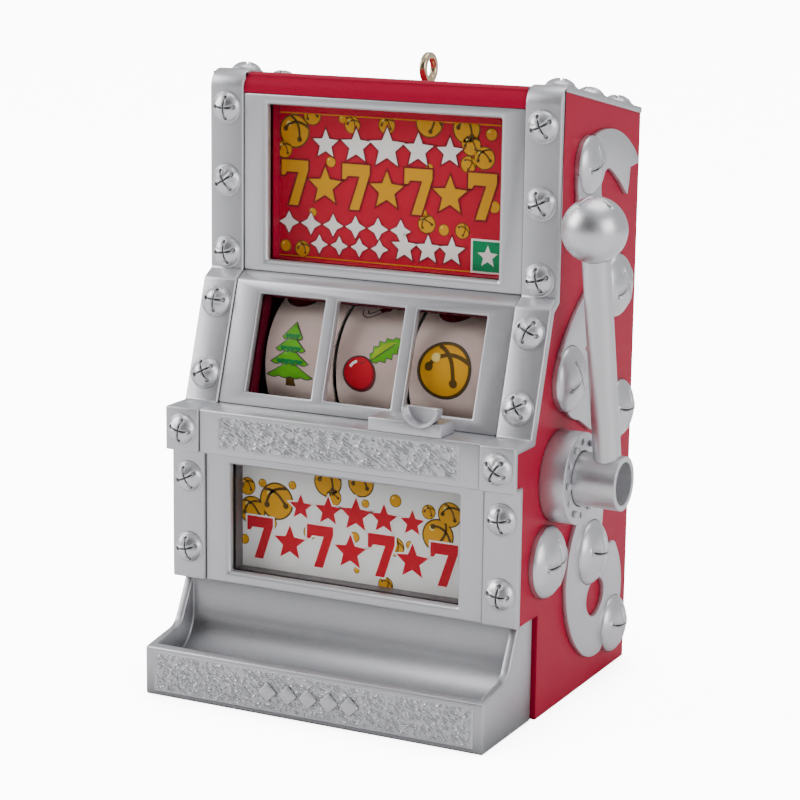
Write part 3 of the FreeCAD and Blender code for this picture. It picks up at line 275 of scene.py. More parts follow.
# The floor's groove colour paints a soft contact shadow round the object into its glow.
FLOOR_WHITE = Finish("floor_white", (0.92, 0.92, 0.92), (0.95, 0.95, 0.95), 0.0, (0.6, 0.7), 60.0,
                     gloss=0.1, painted_shade=(0.32, 0.32, 0.33), painted_shade_share=0.9, painted_shade_reach=0.014, glow=11.5)
CLEAR = ClearSheet()


# ------------------------------------------------------------------ shader helpers
def group_tree(name: str, inputs: list[str], outputs: list[tuple[str, str]]) -> bpy.types.NodeTree:
    """Starts a shader node group with its sockets.

    Args:
        name: Name of the group.
        inputs: Names of its number inputs.
        outputs: Name and socket type of each output.

    Returns:
        The empty group, with one input and one output node.
    """
    tree = bpy.data.node_groups.new(name, "ShaderNodeTree")
    for title in inputs:
        tree.interface.new_socket(title, in_out="INPUT", socket_type="NodeSocketFloat")
    for title, kind in outputs:
        tree.interface.new_socket(title, in_out="OUTPUT", socket_type=kind)
    tree.nodes.new("NodeGroupInput")
    tree.nodes.new("NodeGroupOutput")
    return tree


def grain_group() -> bpy.types.NodeTree:
    """The fine grain that every finish shares: a speckle, a slow cloud and a height.

    Returns:
        The node group.
    """
    found = bpy.data.node_groups.get("fine_grain")
    if found:
        return found
    value = "NodeSocketFloat"
    tree = group_tree("fine_grain", ["Scale"], [("Tone", value), ("Cloud", value), ("Height", value)])
    start, end = tree.nodes["Group Input"], tree.nodes["Group Output"]
    place = tree.nodes.new("ShaderNodeTexCoord")
    fine, slow, ratio = (tree.nodes.new(kind) for kind in
                         ("ShaderNodeTexNoise", "ShaderNodeTexNoise", "ShaderNodeMath"))
    ratio.operation = "MULTIPLY"
    ratio.inputs[1].default_value = 0.11
    tree.links.new(start.outputs["Scale"], ratio.inputs[0])
    tree.links.new(start.outputs["Scale"], fine.inputs["Scale"])
    tree.links.new(ratio.outputs[0], slow.inputs["Scale"])
    for texture in (fine, slow):
        tree.links.new(place.outputs["Object"], texture.inputs["Vector"])
        texture.inputs["Detail"].default_value = 3.0
    tree.links.new(fine.outputs["Fac"], end.inputs["Tone"])
    tree.links.new(fine.outputs["Fac"], end.inputs["Height"])
    tree.links.new(slow.outputs["Fac"], end.inputs["Cloud"])
    return tree


def edge_group() -> bpy.types.NodeTree:
    """Softened edges: a mask along them and the rounded normal.

    Returns:
        The node group.
    """
    found = bpy.data.node_groups.get("soft_edge")
    if found:
        return found
    tree = group_tree("soft_edge", ["Radius"],
                      [("Edge", "NodeSocketFloat"), ("Normal", "NodeSocketVector")])
    start, end = tree.nodes["Group Input"], tree.nodes["Group Output"]
    rounded = tree.nodes.new("ShaderNodeBevel")
    flat = tree.nodes.new("ShaderNodeNewGeometry")
    match = tree.nodes.new("ShaderNodeVectorMath")
    rounded.samples = 4
    match.operation = "DOT_PRODUCT"
    tree.links.new(start.outputs["Radius"], rounded.inputs["Radius"])
    tree.links.new(rounded.outputs["Normal"], match.inputs[0])
    tree.links.new(flat.outputs["Normal"], match.inputs[1])
    edge = ranged(tree, match.outputs["Value"], (EDGE_START, EDGE_FULL), (0.0, 1.0))
    tree.links.new(edge, end.inputs["Edge"])
    tree.links.new(rounded.outputs["Normal"], end.inputs["Normal"])
    return tree


def groove_group() -> bpy.types.NodeTree:
    """A mask of the narrow grooves and corners, from ambient occlusion, where painted shade goes.

    Returns:
        The node group.
    """
    found = bpy.data.node_groups.get("groove_shade")
    if found:
        return found
    tree = group_tree("groove_shade", ["Distance"], [("Groove", "NodeSocketFloat")])
    start, end = tree.nodes["Group Input"], tree.nodes["Group Output"]
    shut = tree.nodes.new("ShaderNodeAmbientOcclusion")
    shut.samples = 6
    tree.links.new(start.outputs["Distance"], shut.inputs["Distance"])
    groove = ranged(tree, shut.outputs["AO"], (GROOVE_START, GROOVE_FULL), (0.0, 1.0))
    tree.links.new(groove, end.inputs["Groove"])
    return tree


def placed(tree: bpy.types.NodeTree, group: bpy.types.NodeTree, **values: float) -> bpy.types.Node:
    """Puts a node group into a material with its own values.

    Args:
        tree: The material's node tree.
        group: The node group.
        **values: Number for each named input.

    Returns:
        The group node.
    """
    node = tree.nodes.new("ShaderNodeGroup")
    node.node_tree = group
    for title, number in values.items():
        node.inputs[title].default_value = number
    return node


def ranged(tree: bpy.types.NodeTree, value: Socket, source: Point, target: Point) -> Socket:
    """Maps a value from one range to another.

    Args:
        tree: The node tree.
        value: The value's socket.
        source: The range it comes in.
        target: The range it goes out in.

    Returns:
        The mapped value's socket.
    """
    node = tree.nodes.new("ShaderNodeMapRange")
    tree.links.new(value, node.inputs["Value"])
    node.inputs["From Min"].default_value, node.inputs["From Max"].default_value = source
    node.inputs["To Min"].default_value, node.inputs["To Max"].default_value = target
    return node.outputs["Result"]


def mixed(tree: bpy.types.NodeTree, share: Socket, low: Colour | Socket, high: Colour | Socket) -> Socket:
    """Mixes two colours by a mask.

    Args:
        tree: The material's node tree.
        share: The mask.
        low: Colour where the mask is 0.
        high: Colour where the mask is 1.

    Returns:
        The mixed colour's socket.
    """
    node = tree.nodes.new("ShaderNodeMix")
    node.data_type = "RGBA"
    tree.links.new(share, node.inputs[0])
    for place, colour in ((6, low), (7, high)):
        if isinstance(colour, tuple):
            node.inputs[place].default_value = (*colour, 1)
        else:
            tree.links.new(colour, node.inputs[place])
    return node.outputs[2]


def scaled(tree: bpy.types.NodeTree, value: Socket, by: float) -> Socket:
    """Multiplies a mask by a number and keeps it between 0 and 1.

    Args:
        tree: The material's node tree.
        value: The mask.
        by: The number.

    Returns:
        The scaled mask's socket.
    """
    node = tree.nodes.new("ShaderNodeMath")
    node.operation, node.use_clamp = "MULTIPLY", True
    tree.links.new(value, node.inputs[0])
    node.inputs[1].default_value = by
    return node.outputs[0]


# ------------------------------------------------------------------ mesh helpers
@dataclass
class Shape:
    """Vertices and faces that are being put together.

    Args:
        points: The vertices.
        faces: Vertex numbers of each face.
        inks: Place of each face's finish in the piece's list.
    """

    points: list[Vector] = field(default_factory=list)
    faces: list[tuple[int, ...]] = field(default_factory=list)
    inks: list[int] = field(default_factory=list)

    def add(self, points: list[Vector], faces: list[tuple[int, ...]], ink: int = 0) -> None:
        """Adds a patch of vertices and faces with one finish.

        Args:
            points: The patch's vertices.
            faces: Its faces, numbered from its own first vertex.
            ink: Place of its finish in the piece's list.
        """
        first = len(self.points)
        self.points += points
        self.faces += [tuple(first + i for i in face) for face in faces]
        self.inks += [ink] * len(faces)

    def piece(self, name: str, finishes: list[Finish], body: str, slot: str,
              stands_for: tuple[str, ...] = ()) -> bpy.types.Object:
        """Makes the Blender piece and lets it ride on its body.

        Args:
            name: The piece's name.
            finishes: Its finishes, in the order of the ink numbers.
            body: The CAD body that carries it.
            slot: The record's material slot; not used.
            stands_for: CAD nodes that it stands for.

        Returns:
            The piece.
        """
        mesh = bpy.data.meshes.new(name)
        mesh.from_pydata(self.points, [], self.faces)
        for finish in finishes:
            mesh.materials.append(finish.material())
        mesh.polygons.foreach_set("material_index", self.inks)
        mesh.shade_smooth()
        mesh.set_sharp_from_angle(angle=math.radians(38))
        mesh.update()
        piece = bpy.data.objects.new(name, mesh)
        bpy.context.scene.collection.objects.link(piece)
        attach(piece, body)
        if stands_for:
            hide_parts(*stands_for)
        LOG.info("piece %s: %d faces on %s", name, len(self.faces), body)
        return piece


def dress(node: str, finish: Finish | ClearSheet) -> bpy.types.Object:
    """Gives a CAD node its finish.

    Args:
        node: The node's name.
        finish: The finish.

    Returns:
        The node's object.
    """
    shown = frame["nodes"][node]
    shown.data.materials.clear()
    shown.data.materials.append(finish.material())
    LOG.info("node %s: %s", node, finish.name)
    return shown


def soft_copy(node: str, finish: Finish, width: float, segments: int = 3) -> bpy.types.Object:
    """Makes a piece from a CAD node with its sharp edges rounded, to stand for that node.

    Args:
        node: The node's name.
        finish: The piece's finish.
        width: How far each rounding reaches, in metres.
        segments: Steps across a rounding.

    Returns:
        The piece.
    """
    source = frame["nodes"][node]
    work = bmesh.new()
    work.from_mesh(source.data)
    bmesh.ops.remove_doubles(work, verts=work.verts, dist=2e-7)
    bmesh.ops.dissolve_limit(work, angle_limit=math.radians(0.4), use_dissolve_boundaries=False,
                             verts=work.verts, edges=work.edges)
    sharp = [e for e in work.edges if len(e.link_faces) == 2 and e.calc_face_angle(0) > math.radians(34)]
    bmesh.ops.bevel(work, geom=sharp, offset=width, offset_type="OFFSET", segments=segments,
                    profile=0.5, affect="EDGES", clamp_overlap=True, loop_slide=False)
    bmesh.ops.triangulate(work, faces=[f for f in work.faces if len(f.verts) > 4])
    mesh = bpy.data.meshes.new(node + "_soft")
    work.to_mesh(mesh)
    work.free()
    mesh.materials.append(finish.material())
    mesh.shade_smooth()
    mesh.set_sharp_from_angle(angle=math.radians(30))
    piece = bpy.data.objects.new(node + "_soft", mesh)
    bpy.context.scene.collection.objects.link(piece)
    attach(piece, source["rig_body"])
    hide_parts(node)
    LOG.info("piece %s: %d faces", piece.name, len(mesh.polygons))
    return piece


def face_out(piece: bpy.types.Object, outward: Callable[[Vector], Vector]) -> None:
    """Turns every face of a print to its outer side.

    Args:
        piece: The print.
        outward: Gives the outward direction at a face's middle.
    """
    work = bmesh.new()
    work.from_mesh(piece.data)
    inward = [f for f in work.faces if f.normal.dot(outward(f.calc_center_median())) < 0]
    bmesh.ops.reverse_faces(work, faces=inward)
    work.to_mesh(piece.data)
    work.free()


def smooth_step(value: float) -> float:
    """Eases a value from 0 to 1 and clamps it.

    Args:
        value: The value.

    Returns:
        The eased value.
    """
    value = min(1.0, max(0.0, value))
    return value * value * (3 - 2 * value)


def frame_of(normal: Vector) -> Matrix:
    """Turns Z onto a direction, with Y kept as near as possible to the frame's up.

    Args:
        normal: The direction.

    Returns:
        A 3 by 3 rotation.
    """
    out = normal.normalized()
    guide = Vector((0, 1, 0)) if abs(out.z) > 0.9 else Vector((0, 0, 1))
    across = guide.cross(out).normalized()
    return Matrix((across, out.cross(across), out)).transposed()


# ------------------------------------------------------------------ bells
@dataclass(frozen=True)
class Seat:
    """Where a bell sits: the middle of its round foot, its outward direction and its sizes."""

    centre: Vector
    normal: Vector
    radius: float
    rise: float


def seats_on(node: str) -> list[Seat]:
    """Finds each separate dome of a CAD node and reads where it sits from its flat foot.

    Args:
        node: The node's name.

    Returns:
        One seat for each dome.
    """
    mesh = frame["nodes"][node].data
    corners = np.zeros(len(mesh.vertices) * 3, np.float32)
    mesh.vertices.foreach_get("co", corners)
    corners = corners.reshape(-1, 3)
    mesh.calc_loop_triangles()
    triangles = np.array([t.vertices[:] for t in mesh.loop_triangles])
    _, same = np.unique(np.round(corners * 1e6).astype(np.int64), axis=0, return_inverse=True)
    same = same.reshape(-1)
    parent = list(range(int(same.max()) + 1))

    def root(i: int) -> int:
        """Follows the links to a set's first member.

        Args:
            i: A member's number.

        Returns:
            The first member's number.
        """
        while parent[i] != i:
            parent[i] = parent[parent[i]]
            i = parent[i]
        return i

    for a, b, c in same[triangles]:
        parent[root(int(a))] = root(int(b))
        parent[root(int(b))] = root(int(c))
    owner = np.array([root(int(i)) for i in same[triangles[:, 0]]])
    seats = []
    for island in sorted(set(owner.tolist())):
        part = triangles[owner == island]
        a, b, c = (corners[part[:, i]] for i in range(3))
        cross = np.cross(b - a, c - a)
        area = np.linalg.norm(cross, axis=1)
        unit = cross / np.maximum(area[:, None], 1e-18)
        keys, group = np.unique(np.round(unit * 50).astype(int), axis=0, return_inverse=True)
        largest = np.argmax(np.bincount(group.reshape(-1), weights=area))
        foot = group.reshape(-1) == largest
        normal = -(unit[foot] * area[foot, None]).sum(0)
        normal /= np.linalg.norm(normal)
        rim = corners[np.unique(part[foot])]
        centre = (rim.min(0) + rim.max(0)) / 2
        whole = corners[np.unique(part)]
        seats.append(Seat(Vector(centre.tolist()), Vector(normal.tolist()),
                          float(np.linalg.norm(rim - centre, axis=1).max()),
                          float(((whole - centre) @ normal).max())))
    return sorted(seats, key=lambda s: (round(s.centre.z, 4), round(s.centre.y, 4)))


@dataclass(frozen=True)
class BellDome:
    """A jingle bell's shown half: a dome with a cross of slits that end in round eyes.

    Args:
        rings: Steps from the middle to the rim.
        spokes: Steps round.
        reach: How far the slits run, as a share of the radius.
        half: Half width of a slit, as a share of the radius.
        eye: Radius of a slit's round end, as a share of the radius.
        soft: Width of the slit's rolled edge, as a share of the radius.
        depth: Depth of the slits, as a share of the radius.
        lip: Height of the rolled edge, as a share of the radius.
        brim: Where the dome ends and its flat brim starts, as a share of the radius.
        foot: Height of the brim or wall, in metres.
        fullness: Power that rounds the dome: 0.5 is a half ball, 1 a shallow bowl.
        hook: How far the slits bend sideways on their way out.
    """

    rings: int = 32
    spokes: int = 104
    reach: float = 0.61
    half: float = 0.040
    eye: float = 0.115
    soft: float = 0.07
    depth: float = 0.15
    lip: float = 0.036
    brim: float = 0.92
    foot: float = 0.00016
    fullness: float = 0.74
    hook: float = 0.16

    def slit(self, u: float, v: float) -> float:
        """Height that the slits add at a point of the unit disc.

        Args:
            u: Place along one slit.
            v: Place along the other.

        Returns:
            A height as a share of the radius, below zero in a slit.
        """
        gap = 9.0
        for along, off in ((u, v), (v, u)):
            off -= self.hook * along * along
            along = abs(along)
            gap = min(gap, math.hypot(max(along - self.reach, 0), off) - self.half,
                      math.hypot(along - self.reach, off) - self.eye)
        fall = smooth_step(0.5 - gap / self.soft)
        roll = math.exp(-((gap - self.soft) / (0.6 * self.soft)) ** 2)
        return self.lip * roll - self.depth * fall

    def add_to(self, shape: Shape, seat: Seat, turn: float) -> None:
        """Adds the bell to a shape.

        Args:
            shape: The shape that takes it.
            seat: Where it sits.
            turn: How far the cross is turned, in radians.
        """
        size, rise = seat.radius, seat.rise - self.foot
        basis = frame_of(seat.normal)
        points = []
        shares = [self.brim * k / self.rings for k in range(1, self.rings + 1)]
        shares += [self.brim + 0.015, 1.0, 1.0]
        for k, share in enumerate(shares):
            for s in range(self.spokes):
                angle = TURN * s / self.spokes
                u, v = share * math.cos(angle + turn), share * math.sin(angle + turn)
                inner = min(share / self.brim, 1.0)
                height = self.foot + rise * (1 - inner * inner) ** self.fullness
                height += size * self.slit(u, v) if share < self.brim else 0.0
                height = min(height, seat.rise)
                height = 0.0 if k == len(shares) - 1 else max(height, self.foot * 0.9)
                points.append(seat.centre + basis @ Vector((share * size * math.cos(angle),
                                                            share * size * math.sin(angle), height)))
        points.append(seat.centre + seat.normal * (seat.rise - size * self.depth))
        points.append(seat.centre.copy())
        n, last = self.spokes, len(shares) - 1
        faces = [(k * n + s, (k + 1) * n + s, (k + 1) * n + (s + 1) % n, k * n + (s + 1) % n)
                 for k in range(last) for s in range(n)]
        top, bottom = len(points) - 2, len(points) - 1
        faces += [(top, s, (s + 1) % n) for s in range(n)]
        faces += [(bottom, last * n + (s + 1) % n, last * n + s) for s in range(n)]
        shape.add(points, faces)


@dataclass
class Bells:
    """The bells on the straps and on the cabinet's sides."""

    seed: int = 7
    swing: float = 0.6
    strap: BellDome = BellDome()
    side: BellDome = BellDome(rings=44, spokes=136, brim=1.0, foot=0.0008, reach=0.60, half=0.018,
                              eye=0.062, soft=0.045, depth=0.09, lip=0.024, fullness=0.66)

    def build(self) -> None:
        """Builds one piece for each CAD node of bells."""
        draw = random.Random(self.seed)
        for hand in ("left", "right"):
            for kind, dome in (("strap", self.strap), ("side", self.side)):
                node = f"{kind}_bells_{hand}"
                shape = Shape()
                for seat in seats_on(node):
                    dome.add_to(shape, seat, draw.uniform(-self.swing, self.swing))
                shape.piece(node + "_cut", [BELL_SILVER], "cabinet", "silver", (node,))


# ------------------------------------------------------------------ raised grain panels
@dataclass(frozen=True)
class GrainPanel:
    """A plate of raised wrinkles inside a thin plain border.

    Args:
        name: The piece's name.
        left, right, low, high: Its edges, in metres.
        step: Distance between mesh points, in metres.
        wrinkle: Distance between wrinkles, in metres.
        height: Height of the wrinkles, in metres.
        bend: How far the wrinkles stray from straight lines, in wrinkles.
        border: Width of the plain raised border, in metres.
        seed: Where in the noise the pattern is taken.
    """

    name: str
    left: float
    right: float
    low: float
    high: float
    step: float = 0.00009
    wrinkle: float = 0.00050
    height: float = 0.00022
    bend: float = 0.9
    border: float = 0.00030
    seed: float = 3.0

    def rise(self, x: float, z: float) -> float:
        """Height of the wrinkles at a point of the panel.

        Args:
            x: Place along the panel.
            z: Place up the panel.

        Returns:
            The height in metres.
        """
        inside = min(x - self.left, self.right - x, z - self.low, self.high - z)
        if inside < self.border:
            return self.height * 0.55 * smooth_step(inside / (0.4 * self.border))
        p = Vector((x, z, 0)) / self.wrinkle + Vector((0, 0, self.seed))
        bend = noise.noise(p * 0.55) * self.bend + noise.noise(p * 1.3) * 0.4 * self.bend
        ridge = 0.5 + 0.5 * math.sin(TURN * (0.42 * p.x + 0.88 * p.y + bend))
        broken = smooth_step(1.6 * noise.noise(p * 0.8 + Vector((7, 3, 0))) + 0.75)
        fade = smooth_step((inside - self.border) / (0.7 * self.border))
        return self.height * (fade * (0.85 * smooth_step(1.25 * ridge) * broken + 0.05) + 0.1)

    def build(self, front: float) -> bpy.types.Object:
        """Builds the panel on a front plane.

        Args:
            front: Where the plane stands along Y.

        Returns:
            The piece.
        """
        across = max(2, round((self.right - self.left) / self.step))
        up = max(2, round((self.high - self.low) / self.step))
        points = []
        for j in range(up + 1):
            z = self.low + (self.high - self.low) * j / up
            for i in range(across + 1):
                x = self.left + (self.right - self.left) * i / across
                rim = i in (0, across) or j in (0, up)
                points.append(Vector((x, front + (0.0001 if rim else -self.rise(x, z)), z)))
        row = across + 1
        faces = [(j * row + i, j * row + i + 1, (j + 1) * row + i + 1, (j + 1) * row + i)
                 for j in range(up) for i in range(across)]
        ring = (list(range(0, across)) + [j * row + across for j in range(up)]
                + [up * row + i for i in range(across, 0, -1)] + [j * row for j in range(up, 0, -1)])
        faces.append(tuple(reversed(ring)))
        shape = Shape()
        shape.add(points, faces)
        return shape.piece(self.name, [SILVER], "cabinet", "silver")


# ------------------------------------------------------------------ printed art
def disc(x: float, z: float, radius: float, count: int = 32) -> list[Point]:
    """Points round a circle.

    Args:
        x: Middle across.
        z: Middle up.
        radius: Radius.
        count: How many points.

    Returns:
        The outline.
    """
    return [(x + radius * math.cos(TURN * i / count), z + radius * math.sin(TURN * i / count))
            for i in range(count)]


def star(x: float, z: float, radius: float, tips: int = 5, waist: float = 0.45) -> list[Point]:
    """Points of a star with one tip up.

    Args:
        x: Middle across.
        z: Middle up.
        radius: Reach of the tips.
        tips: How many tips.
        waist: Reach of the corners between tips, as a share of the radius.

    Returns:
        The outline.
    """
    return [(x + (radius if i % 2 == 0 else radius * waist) * math.sin(math.pi * i / tips),
             z + (radius if i % 2 == 0 else radius * waist) * math.cos(math.pi * i / tips))
            for i in range(2 * tips)]


def bar(x0: float, z0: float, x1: float, z1: float, width: float) -> list[Point]:
    """Corners of a straight stroke between two points.

    Args:
        x0: Start across.
        z0: Start up.
        x1: End across.
        z1: End up.
        width: The stroke's width.

    Returns:
        The outline.
    """
    length = math.hypot(x1 - x0, z1 - z0)
    dx, dz = (z0 - z1) / length * width / 2, (x1 - x0) / length * width / 2
    return [(x0 - dx, z0 - dz), (x1 - dx, z1 - dz), (x1 + dx, z1 + dz), (x0 + dx, z0 + dz)]


def curve(start: Point, bend: Point, end: Point, width: float, steps: int = 10) -> list[Point]:
    """Outline of a curved stroke.

    Args:
        start: Where it starts.
        bend: The point that it bends towards.
        end: Where it ends.
        width: Its width.
        steps: Steps along it.

    Returns:
        The outline.
    """
    left, right = [], []
    a, b, c = Vector(start), Vector(bend), Vector(end)
    for i in range(steps + 1):
        t = i / steps
        here = a * (1 - t) ** 2 + b * 2 * t * (1 - t) + c * t * t
        along = ((b - a) * (1 - t) + (c - b) * t).normalized() * width / 2
        left.append((here.x - along.y, here.y + along.x))
        right.append((here.x + along.y, here.y - along.x))
    return right + left[::-1]


SEVEN = [(-0.50, 0.50), (-0.50, 0.16), (-0.38, 0.16), (-0.30, 0.24), (0.14, 0.24), (-0.22, -0.50),
         (0.12, -0.50), (0.50, 0.30), (0.50, 0.50)]


def seven(x: float, z: float, wide: float, high: float) -> list[Point]:
    """Corners of a block figure seven.

    Args:
        x: Middle across.
        z: Middle up.
        wide: Width.
        high: Height.

    Returns:
        The outline.
    """
    return [(x + wide * a, z + high * b) for a, b in reversed(SEVEN)]


def grown(points: list[Point], by: float) -> list[Point]:
    """Moves an outline outwards.

    Args:
        points: The outline.
        by: How far it moves.

    Returns:
        The larger outline.
    """
    turn = sum(a[0] * b[1] - b[0] * a[1] for a, b in zip(points, points[1:] + points[:1]))
    side = 1 if turn > 0 else -1
    result = []
    for i, here in enumerate(points):
        before, after = Vector(points[i - 1]), Vector(points[(i + 1) % len(points)])
        middle = Vector(here)
        a, b = (middle - before).normalized(), (after - middle).normalized()
        out = Vector((a.y + b.y, -a.x - b.x)) * side
        out = out.normalized() if out.length > 1e-9 else Vector((a.y, -a.x)) * side
        lean = max(0.45, abs(out.dot(Vector((a.y, -a.x)))))
        moved = middle + out * by / lean
        result.append((moved.x, moved.y))
    return result


BELL_SLITS = (((-0.60, 0.12), (-0.35, 0.52), (0.18, 0.56)), ((0.18, 0.56), (0.60, 0.52), (0.90, 0.30)),
              ((-0.32, 0.86), (0.16, 0.66), (0.30, 0.10)), ((0.30, 0.10), (0.36, -0.15), (0.38, -0.42)))
BELL_EYES = ((-0.60, 0.08), (0.38, -0.44))


@dataclass
class Print:
    """Flat shapes in layers of ink. Places are in millimetres.

    Args:
        window: Left, right, low and high edge that shapes are cut to, or None.
        plain_under: Bells smaller than this have no slits.
        patches: The shapes so far, each with its finish and layer.
    """

    window: tuple[float, float, float, float] | None = None
    plain_under: float = 1.1
    patches: list[tuple[list[Point], Finish, int]] = field(default_factory=list)

    def add(self, points: list[Point], ink: Finish, layer: int) -> None:
        """Adds one shape.

        Args:
            points: Its outline.
            ink: Its finish.
            layer: Its layer, 1 lowest.
        """
        if self.window:
            points = self.cut(points)
        if len(points) > 2:
            self.patches.append((points, ink, layer))

    def cut(self, points: list[Point]) -> list[Point]:
        """Cuts an outline to the window.

        Args:
            points: The outline.

        Returns:
            What is left of it.
        """
        left, right, low, high = self.window
        for axis, limit, sign in ((0, left, 1), (0, right, -1), (1, low, 1), (1, high, -1)):
            kept = []
            for a, b in zip(points, points[1:] + points[:1]):
                ina, inb = sign * (a[axis] - limit) >= 0, sign * (b[axis] - limit) >= 0
                if ina:
                    kept.append(a)
                if ina != inb:
                    t = (limit - a[axis]) / (b[axis] - a[axis])
                    kept.append((a[0] + t * (b[0] - a[0]), a[1] + t * (b[1] - a[1])))
            points = kept
        return points

    def bell(self, x: float, z: float, radius: float, turn: float, layer: int = 2) -> None:
        """Draws a round gold bell with a cross of slits.

        Args:
            x: Middle across.
            z: Middle up.
            radius: Radius.
            turn: How far the cross is turned, in radians.
            layer: Its lowest layer.
        """
        self.add(disc(x, z, radius), BROWN_INK, layer)
        self.add(disc(x, z, radius * 0.92 - 0.03), GOLD_INK, layer + 1)
        self.add(disc(x - radius * 0.38, z + radius * 0.42, radius * 0.17, 14), PALE_GOLD_INK, layer + 2)
        if radius < self.plain_under:
            return
        turned = Matrix.Rotation(turn, 2)
        for line in BELL_SLITS:
            a, b, c = (turned @ Vector(p) * radius + Vector((x, z)) for p in line)
            self.add(curve(a[:], b[:], c[:], 0.15 * radius), BROWN_INK, layer + 2)
        for eye in BELL_EYES:
            place = turned @ Vector(eye) * radius
            self.add(disc(x + place.x, z + place.y, 0.16 * radius, 14), BROWN_INK, layer + 3)

    def outlined(self, points: list[Point], ink: Finish, line: Finish, width: float, layer: int) -> None:
        """Draws a shape with a line round it.

        Args:
            points: The shape.
            ink: Its finish.
            line: The line's finish.
            width: The line's width.
            layer: The line's layer; the shape goes on the next.
        """
        self.add(grown(points, width), line, layer)
        self.add(points, ink, layer + 1)

    def flat(self, name: str, front: float, body: str) -> bpy.types.Object:
        """Makes the print as a piece on a card's front.

        Args:
            name: The piece's name.
            front: Where the card's front stands along Y, in metres.
            body: The CAD body that carries it.

        Returns:
            The piece.
        """
        shape, inks = Shape(), self.inks()
        for points, ink, layer in self.patches:
            flat = [Vector((x, z, 0)) for x, z in points]
            faces = [tuple(f) for f in geometry.tessellate_polygon([flat])]
            y = front - LAYER * layer
            shape.add([Vector((x * MM, y, z * MM)) for x, z in points], faces, inks.index(ink))
        piece = shape.piece(name, inks, body, "card")
        face_out(piece, lambda middle: Vector((0, -1, 0)))
        return piece

    def wrapped(self, shape: Shape, inks: list[Finish], drum: "Drum", angle: float) -> None:
        """Adds the print to a shape, wrapped round a reel.

        Args:
            shape: The shape that takes it.
            inks: The piece's finishes.
            drum: The reel.
            angle: Where the print's middle stands round the reel, in radians above the front.
        """
        for points, ink, layer in self.patches:
            rim = [Vector(p) for p in points]
            low, high = min(p.y for p in rim), max(p.y for p in rim)
            left, right = min(p.x for p in rim), max(p.x for p in rim)
            inner = [Vector((left + (right - left) * (i + 0.5) / 5, low + (high - low) * (j + 0.5) / 14))
                     for i in range(5) for j in range(14)]
            edges = [(i, (i + 1) % len(rim)) for i in range(len(rim))]
            made = geometry.delaunay_2d_cdt(rim + inner, edges, [], 1, 1e-5)
            reach = drum.radius + LAYER * layer
            points3 = []
            for p in made[0]:
                around = angle + p.y * MM / drum.radius
                points3.append(Vector((drum.middle + p.x * MM, drum.axle.y - reach * math.cos(around),
                                       drum.axle.z + reach * math.sin(around))))
            shape.add(points3, [tuple(f) for f in made[2]], inks.index(ink))

    def inks(self) -> list[Finish]:
        """The finishes in use, each once, in the order they first appear.

        Returns:
            The finishes.
        """
        return list(dict.fromkeys(ink for _, ink, _ in self.patches))


@dataclass(frozen=True)
class StarRow:
    """A row of outlined stars.

    Args:
        x: Middle of the first star.
        z: Middle of the row.
        step: Distance between stars.
        sizes: Reach of each star's tips.
        line: Width of the line round them.
        tips: Tips of each star.
        waist: Reach of the corners between tips, as a share of the size.
    """

    x: float
    z: float
    step: float
    sizes: tuple[float, ...]
    line: float
    tips: int = 5
    waist: float = 0.45

    def draw(self, art: Print, fill: Finish, line: Finish) -> None:
        """Draws the row.

        Args:
            art: The print that takes it.
            fill: The stars' finish.
            line: The line's finish.
        """
        for i, size in enumerate(self.sizes):
            outline = star(self.x + self.step * i, self.z, size, self.tips, self.waist)
            art.outlined(outline, fill, line, self.line, 6)


@dataclass(frozen=True)
class SevenRow:
    """Sevens and stars by turns.

    Args:
        x: Middle of the first seven.
        z: Middle of the stars.
        step: Distance from one to the next.
        size: Reach of the stars' tips.
        wide: Width of a seven.
        high: Height of a seven.
        line: Width of the line round them.
        lift: How far the sevens stand above the stars.
        count: How many there are.
    """

    x: float
    z: float
    step: float
    size: float
    wide: float
    high: float
    line: float
    lift: float = 0.2
    count: int = 7

    def draw(self, art: Print, fill: Finish, line: Finish) -> None:
        """Draws the row.

        Args:
            art: The print that takes it.
            fill: The finish of the sevens and stars.
            line: The line's finish.
        """
        for i in range(self.count):
            x = self.x + self.step * i
            shape = seven(x, self.z + self.lift, self.wide, self.high)
            art.outlined(star(x, self.z, self.size) if i % 2 else shape, fill, line, self.line, 6)


